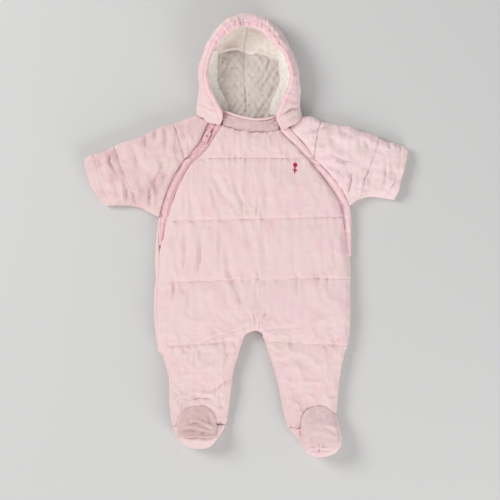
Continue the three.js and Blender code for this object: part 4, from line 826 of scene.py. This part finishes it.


# Feet. Each built-in foot has a sole that wraps up round the toe and a rounded top set into the
# leg; the right toe is folded back a little and the left toe is drawn together by one stitch.
# the tops are painted darker and greyer than the suit's pink, painted shade on their slopes; the right top is
# darker still, painted shade on that side
TOP_PINK_PAINTED_SHADE = {"right": dyed(219, 191, 188), "left": dyed(231, 203, 203)}
VAMP_EDGES = {
    "right": [
        (-44, -312), (-46.6, -295), (-48.4, -278), (-57, -266.7), (-72, -261), (-91, -266.7),
        (-104, -280), (-108, -296), (-107, -312),
    ],
    "left": [
        (146, -318), (143.4, -297), (137.7, -280), (128.3, -269.6), (114, -264), (99.9, -267.6),
        (88.6, -280), (84.8, -299), (84.8, -318),
    ],
}
VAMP_ENDS = {"right": -312, "left": -321}
FOOT_CREASES = {
    "right": [
        ([(-101, -322), (-75, -326), (-52, -322)], 5, 1.8, 0.3),
        ([(-98, -297), (-88, -292), (-76, -291), (-62, -296), (-48, -301)], 3, 3.9, 0.6),
        ([(-106, -304), (-84, -303), (-62, -305), (-46, -306)], 5, 4.2, 0.4),
        ([(-106, -312), (-90, -313.5), (-76, -312), (-61, -313.5), (-45, -311)], 1.9, 3.9, 0.5),
        ([(-60, -272), (-55, -284), (-52, -294)], 3.4, 2.1, 0.2),
        ([(-92, -284), (-84, -286)], 4, 1.8, 0.2),
    ],
    "left": [
        ([(94, -331), (104, -332), (113, -331), (124, -331.5), (135, -330)], 2, 2.2, 0.4),
        ([(113.5, -320), (113, -331), (113.5, -342)], 2.2, 2.8, 0),
        ([(103, -323), (112, -331)], 2.4, 1.6, 0.3),
        ([(123, -322), (115, -331)], 2.4, 1.6, -0.3),
        ([(104, -340), (112, -332)], 2.4, 1.4, 0.3),
        ([(123, -340), (115, -332)], 2.4, 1.4, 0.3),
        ([(96, -318), (106, -310), (116, -309)], 5, 1.5, 0.3),
        ([(118, -296), (130, -300), (138, -306)], 3.6, 1.3, 0.3),
        ([(84.8, -294), (84.5, -308), (86, -324)], 1.8, 2.4, 0.5),
    ],
}
for side, seed in (("right", 71), ("left", 77)):
    foot = cloth_from([f"foot_sole_{side}", f"foot_vamp_{side}"], f"foot_cloth_{side}", 2, sewn=0.0009)
    places = places_of(foot)
    heights = 0.9 * lumps(places, 18, seed) + 0.5 * lumps(places, 8, seed + 1)
    heights += 0.6 * small_folds(places, 9, 1, seed + 2)
    for crease in FOOT_CREASES[side]:
        heights += crease_heights(places, *crease)
    raise_cloth(foot, heights, upper_side(foot))
    shade = darker(TOP_PINK_PAINTED_SHADE[side], 0.92)
    # the soles keep the suit's cotton; the tops get the copy in painted shade
    foot.data.materials.append(shell_cotton)
    foot.data.materials.append(woven_cotton(f"vamp_cotton_painted_shade_{side}", TOP_PINK_PAINTED_SHADE[side], shade, patch=0.02))
    centres = centres_of(foot)
    away, left_of, _, _ = beside(centres, VAMP_EDGES[side])
    vamp_end = VAMP_ENDS[side] + 1.5 * lumps(centres, 9, seed + 4)
    vamp = (left_of > 0) & (centres[:, 1] > vamp_end) & (centres[:, 2] > 12)
    foot.data.polygons.foreach_set("material_index", vamp.astype(np.int32))
    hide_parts(f"foot_sole_{side}", f"foot_vamp_{side}")
    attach(foot, "suit")


# Hood. Two padded side pieces joined over the crown, with the front edge turned in and hemmed; the
# hem is gathered a little at the top, and the lower corners fold forward over the shoulders.
HOOD_MIDDLE = (2, 255)
BRIM_PINK = dyed(246, 207, 213)
BRIM_SHADE = dyed(242, 198, 206)
HEM_WIDTH = 9
HEM_SEAMS = (2.5, HEM_WIDTH)
# at the crown the brim leans in over the opening and the outside spreads; the lower corners sink
# and lap down over the shoulders
BRIM_LEAN = 4.5
CROWN_SPREAD = 2
CORNERS = [[(-44, 174), (-60, 182), (-78, 191)], [(54, 170), (70, 178), (88, 189)]]
CORNER_DROP = 5.2
LOWER_EDGES = [[(-58, 180), (-78, 191)], [(53, 169), (68, 176), (88, 189)]]
LOWER_WAYS = [(-0.45, -0.89), (0.49, -0.87)]
EDGE_LAP = 3.4
HOOD_CREASES = [
    ([(-78, 206), (-64, 202), (-54, 196), (-45, 194)], 3, 2.4, 0.5),
    ([(-78, 193), (-67, 188), (-57, 182)], 3, 2.2, 0.5),
    ([(-66, 198), (-58, 190), (-50, 188)], 2.6, 1.4, 0.3),
    ([(-70, 240), (-64, 222), (-56, 212)], 4, 1.5, 0.3),
    ([(-72, 262), (-64, 284), (-52, 302)], 4.5, 1.2, 0.3),
    ([(84, 201), (70, 198), (61, 190), (51, 186)], 3, 2.6, 0.5),
    ([(80, 190), (68, 184), (60, 182)], 2.8, 1.6, 0.3),
    ([(80, 214), (68, 210), (60, 204)], 3.4, 1.6, 0.3),
    ([(80, 236), (76, 262), (66, 286)], 4.5, 1.2, 0.3),
]
HOOD_TUCKS = [
    ([(-79, 206), (-62.1, 198.8), (-44, 193)], 3, 2.4),
    ([(-79, 194), (-66, 187), (-54, 175)], 3, 2),
    ([(50, 186), (66, 196.3), (86, 208)], 3, 2.4),
    ([(56, 184), (69.7, 191.3), (88, 200)], 2.5, 2),
    ([(-62, 262), (-68, 240), (-66, 216)], 4, 1),
]
GATHER = {"width": 1.7, "depth": 2.1, "lean": 0.4, "ends": 0.25}
BRIM_GATHERS = [
    [(-36, 321.9), (-32.3, 315.7)], [(-26, 329.4), (-23.6, 323.2)], [(-16.7, 335), (-15.5, 326.3)],
    [(-9.9, 334.3), (-8.6, 325)], [(-4.3, 333), (-3.9, 326)], [(5.7, 334.3), (4.8, 326.3)],
    [(13.7, 333), (12.7, 327)], [(24.3, 330.6), (26.2, 324)], [(28.7, 329.4), (30.5, 323)],
    [(36.1, 320.7), (39.9, 315.7)], [(43.6, 312), (47.3, 307)], [(50.6, 302), (52.9, 294.6)],
]
BRIM_LINE = [
    (-33, 184), (-40, 202), (-54, 228), (-58, 250), (-54, 271), (-44, 298), (-26, 320), (1, 327),
    (27, 316.5), (41, 297), (57, 279), (66, 249), (61, 228), (51, 206), (43, 188),
]
hood = cloth_from(["hood_side_right", "hood_side_left"], "hood_cloth", 2, firm=0.8, sewn=0.0011)
places, facings = places_of(hood), facings_of(hood)
outwards = places[:, :2] - HOOD_MIDDLE
outwards /= np.hypot(*outwards.T)[:, None]
outward_share = facings[:, 0] * outwards[:, 0] + facings[:, 1] * outwards[:, 1] + facings[:, 2]
seen = np.clip((outward_share + 0.1) / 0.5, 0, 1)
away, side_of_brim, _, _ = beside(places, BRIM_LINE)
seen *= np.clip(1 + (side_of_brim * away + 3) / 4, 0, 1)
heights = 0.9 * lumps(places, 24, 91) + 0.5 * lumps(places, 10, 92) + 0.7 * small_folds(places, 14, 1, 93)
crown = np.clip((places[:, 1] - 290) / 30, 0, 1)
hem_middle = moved_in(BRIM_LINE, HEM_WIDTH / 2)
gathers = (0.4 + crown) * pucker_heights(places, hem_middle, reach=8, spacing=3.6, depth=1.1, seed=94)
hem_edge = moved_in(BRIM_LINE, HEM_WIDTH)
gathers += pucker_heights(places, hem_edge, reach=9, spacing=6, depth=0.8, seed=96)
heights += gathers * upper_side(hood)
for edge in HEM_SEAMS:
    heights += seam_heights(places, moved_in(BRIM_LINE, edge), width=1.2, depth=0.9)
for crease in HOOD_CREASES:
    heights += crease_heights(places, *crease)
for gather in BRIM_GATHERS:
    heights += crease_heights(places, gather, **GATHER)
for tuck in HOOD_TUCKS:
    heights += tuck_heights(places, *tuck)
raise_cloth(hood, heights, seen)
places = places_of(hood)
at_edge = np.exp(-((beside(places, BRIM_LINE)[0] / 9) ** 2)) * np.clip((places[:, 2] - 20) / 10, 0, 1)
places[:, :2] -= outwards * (BRIM_LEAN * crown * at_edge)[:, None]
outermost = crown * np.clip((away * side_of_brim - 5) / 8, 0, 1) * np.clip(places[:, 2] / 6, 0, 1)
places[:, :2] += outwards * (CROWN_SPREAD * outermost)[:, None]
near = np.max([np.clip(1 - beside(places, line)[0] / 26, 0, 1) for line in CORNERS], axis=0)
above = np.clip((places[:, 2] - 12) / 10, 0, 1)
places[:, 2] -= CORNER_DROP * above * eased(near)
for line, (x, y) in zip(LOWER_EDGES, LOWER_WAYS):
    lap = EDGE_LAP * above * np.clip(1.2 - beside(places, line)[0] / 10, 0, 1)
    places[:, :2] += np.outer(lap, (x, y))
put_places(hood, places)
hood.data.materials.append(shell_cotton)
hood.data.materials.append(woven_cotton("brim_cotton", BRIM_PINK, BRIM_SHADE, patch=0.012, faded=SHELL_PINK))
centres = centres_of(hood)
hem = (beside(centres, BRIM_LINE)[0] < HEM_WIDTH) & (centres[:, 2] > 24)
hood.data.polygons.foreach_set("material_index", hem.astype(np.int32))
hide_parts("hood_side_right", "hood_side_left")
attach(hood, "suit")


# Hood lining. Thin off-white cotton, quilted in small diamonds and crinkled, in two halves with a
# seam down the middle; at the crown it sags forward in one fold.
LINING_GREY = dyed(214, 204, 195)
LINING_SHADE = dyed(198, 186, 176)
# the crown above the fold gets a paler copy of the lining: painted light on the crown's inner wall
CROWN_CREAM_PAINTED_LIGHT = dyed(240, 231, 222)
CROWN_DARKER_PAINTED_LIGHT = dyed(232, 221, 211)
FOLD_LINE = [(-44, 284), (-38, 287), (-16, 292), (-5, 288), (6, 284), (20, 286), (31, 282), (45, 276)]
LINING_CREASES = [
    ([(-38, 286), (-30, 288), (-16, 291), (-5, 287)], 2.2, 3.6, 0.9),
    ([(6, 283), (20, 285), (31, 281), (43, 276)], 2.2, 3.6, 0.9),
    ([(-36, 291), (-37, 278), (-39, 268)], 3, 2.2, 0.3),
    ([(-34, 285), (-30, 273), (-31, 262)], 3, 1.6, 0.3),
    ([(39, 282), (35, 268), (31, 258)], 3, 2.2, -0.3),
    ([(22, 284), (26, 276), (34, 272)], 2.6, 1.8, 0.3),
    ([(-40, 250), (-33, 232), (-26, 212)], 3.5, 1.6, 0.4),
    ([(-33, 246), (-26, 230), (-20, 214)], 3, 1.3, 0.3),
    ([(-29, 262), (-24, 244), (-26, 232)], 3, 1.2, 0.3),
    ([(42, 262), (36, 244), (33, 228)], 3, 1.4, -0.3),
    ([(34, 250), (30, 236), (24, 222)], 3, 1.2, 0.2),
    ([(45, 240), (40, 222), (34, 208)], 3.5, 1.4, -0.3),
    ([(4, 252), (16, 250), (26, 252)], 3, 0.9, 0.2),
    ([(4, 234), (20, 236)], 3, 0.9, 0.2),
    ([(-20, 264), (-8, 262)], 3, 0.9, 0.2),
    ([(-16, 222), (-10, 204)], 4, 1.2, 0.2),
    ([(20, 220), (14, 202)], 4, 1.0, 0.2),
]
MIDDLE_SEAM = [(0, 324), (-3, 303), (-4, 288), (-3.5, 258), (-1.5, 231), (1, 190)]
LINING_NODES = ["hood_lining_right", "hood_lining_left", "hood_facing_right", "hood_facing_left"]
FLEECE_WIDTH = 13.5
FLEECE_TOP = 293
FLEECE_FOOT = 187


def crinkled_lining():
    """Thin cotton with a diamond quilting of about 10 millimetres and fine crinkles"""
    lining = woven_cotton("crinkled_lining", LINING_GREY, LINING_SHADE, crumple=0.75, nap=0.25, patch=0.02)
    nodes, links = lining.node_tree.nodes, lining.node_tree.links
    shader = nodes["Principled BSDF"]
    where = nodes.new("ShaderNodeTexCoord")
    below = shader.inputs["Normal"].links[0].from_node
    for slant in (0.6, -0.6):
        turned = set_inputs(nodes.new("ShaderNodeMapping"), {"Rotation": (0, 0, slant)})
        rows = nodes.new("ShaderNodeTexWave")
        rows.wave_profile = "SIN"
        set_inputs(rows, {"Scale": 34, "Distortion": 1.6, "Detail": 2})
        links.new(where.outputs["Object"], turned.inputs["Vector"])
        links.new(turned.outputs["Vector"], rows.inputs["Vector"])
        sewn = nodes.new("ShaderNodeMath")
        sewn.operation = "POWER"
        sewn.inputs[1].default_value = 0.35
        links.new(rows.outputs["Fac"], sewn.inputs[0])
        below = bump_of(nodes, links, sewn.outputs[0], 0.0012, 0.55, below)
    links.new(below.outputs["Normal"], shader.inputs["Normal"])
    return lining


def under_fleece(places):
    """1 beneath the fleece strips, 0 elsewhere: they run beside the hood's edge and taper to both ends"""
    away, side, _, _ = beside(places, BRIM_LINE)
    from_top, from_foot = FLEECE_TOP - places[:, 1], places[:, 1] - FLEECE_FOOT
    upper_taper = np.clip((from_top + 1) / 38, 0, 1) ** 0.7
    lower_taper = np.clip((from_foot + 1) / 22, 0, 1) ** 0.4
    covered = np.clip((FLEECE_WIDTH * upper_taper * lower_taper + side * away) / 2 + 0.5, 0, 1)
    return covered * np.clip(from_top / 2, 0, 1) * np.clip(from_foot / 2, 0, 1)


def inner_side(piece):
    """1 where the cloth faces the hood's hollow, 0 on its outside"""
    places = places_of(piece)
    sideways = HOOD_MIDDLE - places[:, :2]
    inwards = np.column_stack([sideways, np.full(len(places), 30)])
    inwards /= np.linalg.norm(inwards, axis=1)[:, None]
    return np.clip(((facings_of(piece) * inwards).sum(axis=1) - 0.1) / 0.5, 0, 1)


lining = cloth_from(LINING_NODES, "lining_cloth", 2, firm=1, sewn=0.0011)
lining_form = lining.data.copy()
places = places_of(lining)
heights = 0.8 * lumps(places, 15, 101) + 0.7 * lumps(places, 6.5, 100) + 0.8 * small_folds(places, 7, 1, 103)
middle = seam_heights(places, MIDDLE_SEAM, width=1.2, depth=2)
middle += pucker_heights(places, MIDDLE_SEAM, reach=12, spacing=5, depth=0.8, seed=104)
heights += middle
for crease in LINING_CREASES:
    heights += crease_heights(places, *crease)
raise_cloth(lining, np.clip(heights, -1.8, 3) * (1 - under_fleece(places)), inner_side(lining))
lining.data.materials.append(crinkled_lining())
lining.data.materials.append(woven_cotton("crown_lining_painted_light", CROWN_CREAM_PAINTED_LIGHT, CROWN_DARKER_PAINTED_LIGHT, crumple=0.5, patch=0.02))
# faces above the crown's fold take the copy in painted light
centres = centres_of(lining)
painted_light_above_fold = (beside(centres, FOLD_LINE)[1] > 0) & (centres[:, 1] > 268)
lining.data.polygons.foreach_set("material_index", painted_light_above_fold.astype(np.int32))
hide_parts("hood_lining_right", "hood_lining_left")
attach(lining, "suit")


# Hood facing. A strip of cream fleece with a short curly pile on each side of the hood's opening,
# sewn in between the hem and the lining.
FLEECE_CREAM = dyed(250, 247, 238)
FLEECE_SHADE = dyed(243, 238, 225)
PILE_HEIGHT = 0.0022


def fleece():
    """Short curly pile"""
    pile = bpy.data.materials.new("fleece")
    pile.use_nodes = True
    nodes, links = pile.node_tree.nodes, pile.node_tree.links
    shader = set_inputs(nodes["Principled BSDF"], {"Roughness": 1.0, "Specular IOR Level": 0.1})
    set_inputs(shader, {"Sheen Weight": 0.5, "Sheen Roughness": 0.6})
    where = cloth_colour(nodes, links, shader, FLEECE_CREAM, FLEECE_SHADE, 0.008)
    curls = nodes.new("ShaderNodeTexNoise")
    set_inputs(curls, {"Scale": 380, "Detail": 5, "Distortion": 1.5})
    links.new(where.outputs["Object"], curls.inputs["Vector"])
    curly = bump_of(nodes, links, curls.outputs["Fac"], 0.0016, 0.9)
    links.new(curly.outputs["Normal"], shader.inputs["Normal"])
    return pile


fleece_pile = fleece()
for side, way, seed in (("right", -1, 111), ("left", 1, 114)):
    facing = placed(f"fleece_{side}", lining_form.copy())
    covered = under_fleece(places_of(facing)) * inner_side(facing) * (places_of(facing)[:, 0] * way > 0)
    bm = bmesh.new()
    bm.from_mesh(facing.data)
    bm.verts.ensure_lookup_table()
    bare = [v for v in bm.verts if covered[v.index] < 0.3]
    bmesh.ops.delete(bm, geom=bare, context="VERTS")
    for _ in range(6):
        edge = [v for v in bm.verts if v.is_boundary]
        bmesh.ops.smooth_vert(bm, verts=edge, factor=0.5, use_axis_x=True, use_axis_y=True, use_axis_z=True)
    bm.to_mesh(facing.data)
    bm.free()
    pile = facing.modifiers.new("pile", "SOLIDIFY")
    pile.thickness = PILE_HEIGHT
    pile.offset = 1
    thick = made_up(facing)
    facing.modifiers.clear()
    facing.data = thick
    thick.name = f"fleece_{side}"
    places = places_of(facing)
    heights = 0.6 * lumps(places, 11, seed) + 0.5 * lumps(places, 2.6, seed + 1)
    raise_cloth(facing, heights, inner_side(facing))
    thick.shade_smooth()
    thick.materials.append(fleece_pile)
    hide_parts(f"hood_facing_{side}")
    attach(facing, "suit")


# Neck band. A short padded stand-up collar sewn to the front panel, its top edge bound with a
# narrow roll of the same cotton.
PIPING_RADIUS = 1.5
PIPING_INSET = 1
# the band's pink is painted darker than the suit's: painted shade where it lies low between the hood's
# corners
BAND_PINK_PAINTED_SHADE = dyed(214, 187, 186)
BAND_DARKER_PAINTED_SHADE = dyed(204, 173, 174)
PIPING_PINK = dyed(240, 212, 212)
BAND_TOP = [
    (-35, 196), (-26, 192.7), (-14, 188), (0, 184.7), (15, 182.4), (28, 183.2), (39, 185.7), (47, 189.2),
]
BINDING_SEAM = 3.2
BAND_TUCKS = [
    ([(-35, 184), (-22, 180), (-12, 174)], 2.5, 1.3),
    ([(34, 172), (40, 178), (48, 183)], 2.5, 1.3),
]
band = cloth_from(["neck_band"], "neck_cloth", 4)
places = places_of(band)
heights = 0.5 * lumps(places, 14, 121) + 0.3 * lumps(places, 6, 122)
heights += pucker_heights(places, NECK_SEAM, reach=9, spacing=5, depth=1.1, seed=123)
heights += 0.9 * small_folds(places, 7, (0.6, 1, 1), 124)
for tuck in BAND_TUCKS:
    heights += tuck_heights(places, *tuck)
heights += seam_heights(places, [(x, y - BINDING_SEAM) for x, y in BAND_TOP], width=1.2, depth=1.1)
raise_cloth(band, heights, upper_side(band))
band.data.materials.append(woven_cotton("band_cotton_painted_shade", BAND_PINK_PAINTED_SHADE, BAND_DARKER_PAINTED_SHADE, patch=0.015))
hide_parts("neck_band")
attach(band, "suit")

curve = bpy.data.curves.new("neck_piping_line", "CURVE")
curve.dimensions = "3D"
curve.bevel_depth = PIPING_RADIUS / 1000
curve.bevel_resolution = 3
curve.use_fill_caps = True
spline = curve.splines.new("BEZIER")
spline.bezier_points.add(len(BAND_TOP) - 1)
band_surface = surface_of([band])
for point, (x, y) in zip(spline.bezier_points, BAND_TOP):
    point.co = (x / 1000, (y - PIPING_INSET) / 1000, (top_at(band_surface, x, y - PIPING_INSET) + 0.5) / 1000)
    point.handle_left_type = point.handle_right_type = "AUTO"
rolled = placed("neck_piping_line", curve)
piping_mesh = made_up(rolled)
bpy.data.objects.remove(rolled)
piping = placed("neck_piping", piping_mesh)
piping_mesh.materials.clear()
piping_mesh.materials.append(woven_cotton("piping_cotton", PIPING_PINK, SHELL_PINK, crumple=0.1))
piping_mesh.shade_smooth()
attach(piping, "suit")


# Stitching. Cotton thread, a stitch about every 3 millimetres along every quilting line, hem and
# placket edge; pinker on the plackets and the hood's hem. On the quilting it is pale thread near the
# cloth's pink, painted paler still: a painted highlight along the seams' lit edge.
PALE_THREAD_PAINTED_HIGHLIGHT = dyed(247, 226, 224)
PINK_THREAD = dyed(220, 172, 182)
PINK_THREAD_SHADE = dyed(208, 158, 168)
LINING_THREAD_SHADE = dyed(170, 156, 146)
LOWEST_STITCH = 6
# one stitch: how far along it each of its places is, and how high above the cloth
STITCH_PLACES = ((-0.5, -0.25), (-0.2, 0.2), (0.2, 0.2), (0.5, -0.25))


def stitches(name, lines, pieces, thread, pitch=3.2, length=2.5, radius=0.3):
    """Rows of stitches that dip into the cloth at both ends"""
    surface = surface_of(pieces)
    vertices, faces = [], []
    for line in lines:
        for (x, y), (wx, wy) in zip(*evenly(line, pitch)):
            path = []
            for share, lift in STITCH_PLACES:
                spot = (x + wx * share * length, y + wy * share * length)
                top = top_at(surface, *spot)
                if top is None or top < LOWEST_STITCH:
                    break
                path.append((*spot, top + lift))
            if len(path) == len(STITCH_PLACES):
                thread_rings(vertices, faces, path, [radius * 0.6, radius, radius, radius * 0.6], sides=5)
    row = joined_piece(name, vertices, faces)
    row.data.materials.append(thread)
    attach(row, "suit")


# the quilting thread is painted paler than the cloth, a painted highlight on the seams
pale_thread_painted_highlight = woven_cotton("pale_thread_painted_highlight", PALE_THREAD_PAINTED_HIGHLIGHT, SHELL_PINK, crumple=0.05, nap=0.1)
pink_thread = woven_cotton("pink_thread", PINK_THREAD, PINK_THREAD_SHADE, crumple=0.05, nap=0.1)
sleeves = [bpy.data.objects[name] for name in ("sleeve_cloth_right", "sleeve_cloth_left")]
plackets = [bpy.data.objects[name] for name in ("placket_cloth_right", "placket_cloth_left")]
stitches("quilting_stitches", QUILTING_LINES.values(), [front], pale_thread_painted_highlight)
sleeve_lines = [line for lines in SLEEVE_QUILTING.values() for line in lines] + list(CUFF_HEMS.values())
stitches("sleeve_stitches", sleeve_lines, sleeves, pale_thread_painted_highlight)
placket_lines = [moved_in(line[2:-1], edge) for line in ZIP_LINES.values() for edge in PLACKET_SEAMS]
stitches("placket_stitches", placket_lines, plackets, pink_thread)
lining_thread = woven_cotton("lining_thread", LINING_SHADE, LINING_THREAD_SHADE, crumple=0.05, nap=0.1)
stitches("lining_stitches", [MIDDLE_SEAM[1:]], [lining], lining_thread)
brim_lines = [moved_in(BRIM_LINE, edge) for edge in HEM_SEAMS]
stitches("brim_stitches", brim_lines, [hood], pink_thread)


# Chest embroidery. A small flower with a stem and two leaves in magenta satin stitch, worked
# through the front panel on the wearer's left.
FLOWER_AT = (76, 111)
FLOWER_MAGENTA = dyed(186, 26, 88)
FLOWER_SHADE = dyed(160, 18, 72)
SATIN_PITCH = 0.34
SATIN_RADII = [0.14, 0.24, 0.24, 0.14]
STEM_FOOT = (75, 97)
# where each petal, leaf or strip of stem is rooted in millimetres, its direction in degrees, its
# length and width
FLOWER_PARTS = [
    {"root": FLOWER_AT, "toward": 90 + 72 * k, "length": 3.8, "width": 3.2} for k in range(5)
] + [
    {"root": (75.2, 100.5), "toward": 40, "length": 4.6, "width": 2.2},
    {"root": (75.2, 102), "toward": 150, "length": 3.8, "width": 2},
    {"root": STEM_FOOT, "toward": 86, "length": 10, "width": 2.1},
    {"root": (75.3, 102.5), "toward": 86, "length": 8, "width": 2.3},
]
flower_surface = surface_of([front])
vertices, faces = [], []
for part in FLOWER_PARTS:
    turn = math.radians(part["toward"])
    way = Vector((math.cos(turn), math.sin(turn)))
    across = Vector((-way.y, way.x))
    rows = round(part["length"] / SATIN_PITCH)
    for row in range(rows):
        share = (row + 0.5) / rows
        half = part["width"] / 2 * math.sqrt(math.sin(math.pi * share))
        middle = Vector(part["root"]) + way * share * part["length"]
        path = []
        for side, lift in ((-1, 0.0), (-0.5, 0.4), (0.5, 0.4), (1, 0.0)):
            spot = middle + across * side * half
            path.append((spot.x, spot.y, top_at(flower_surface, spot.x, spot.y) + lift))
        thread_rings(vertices, faces, path, SATIN_RADII, sides=5)
flower = joined_piece("chest_flower", vertices, faces)
flower.data.materials.append(
    woven_cotton("flower_thread", FLOWER_MAGENTA, FLOWER_SHADE, crumple=0.05, nap=0.1)
)
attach(flower, "suit")
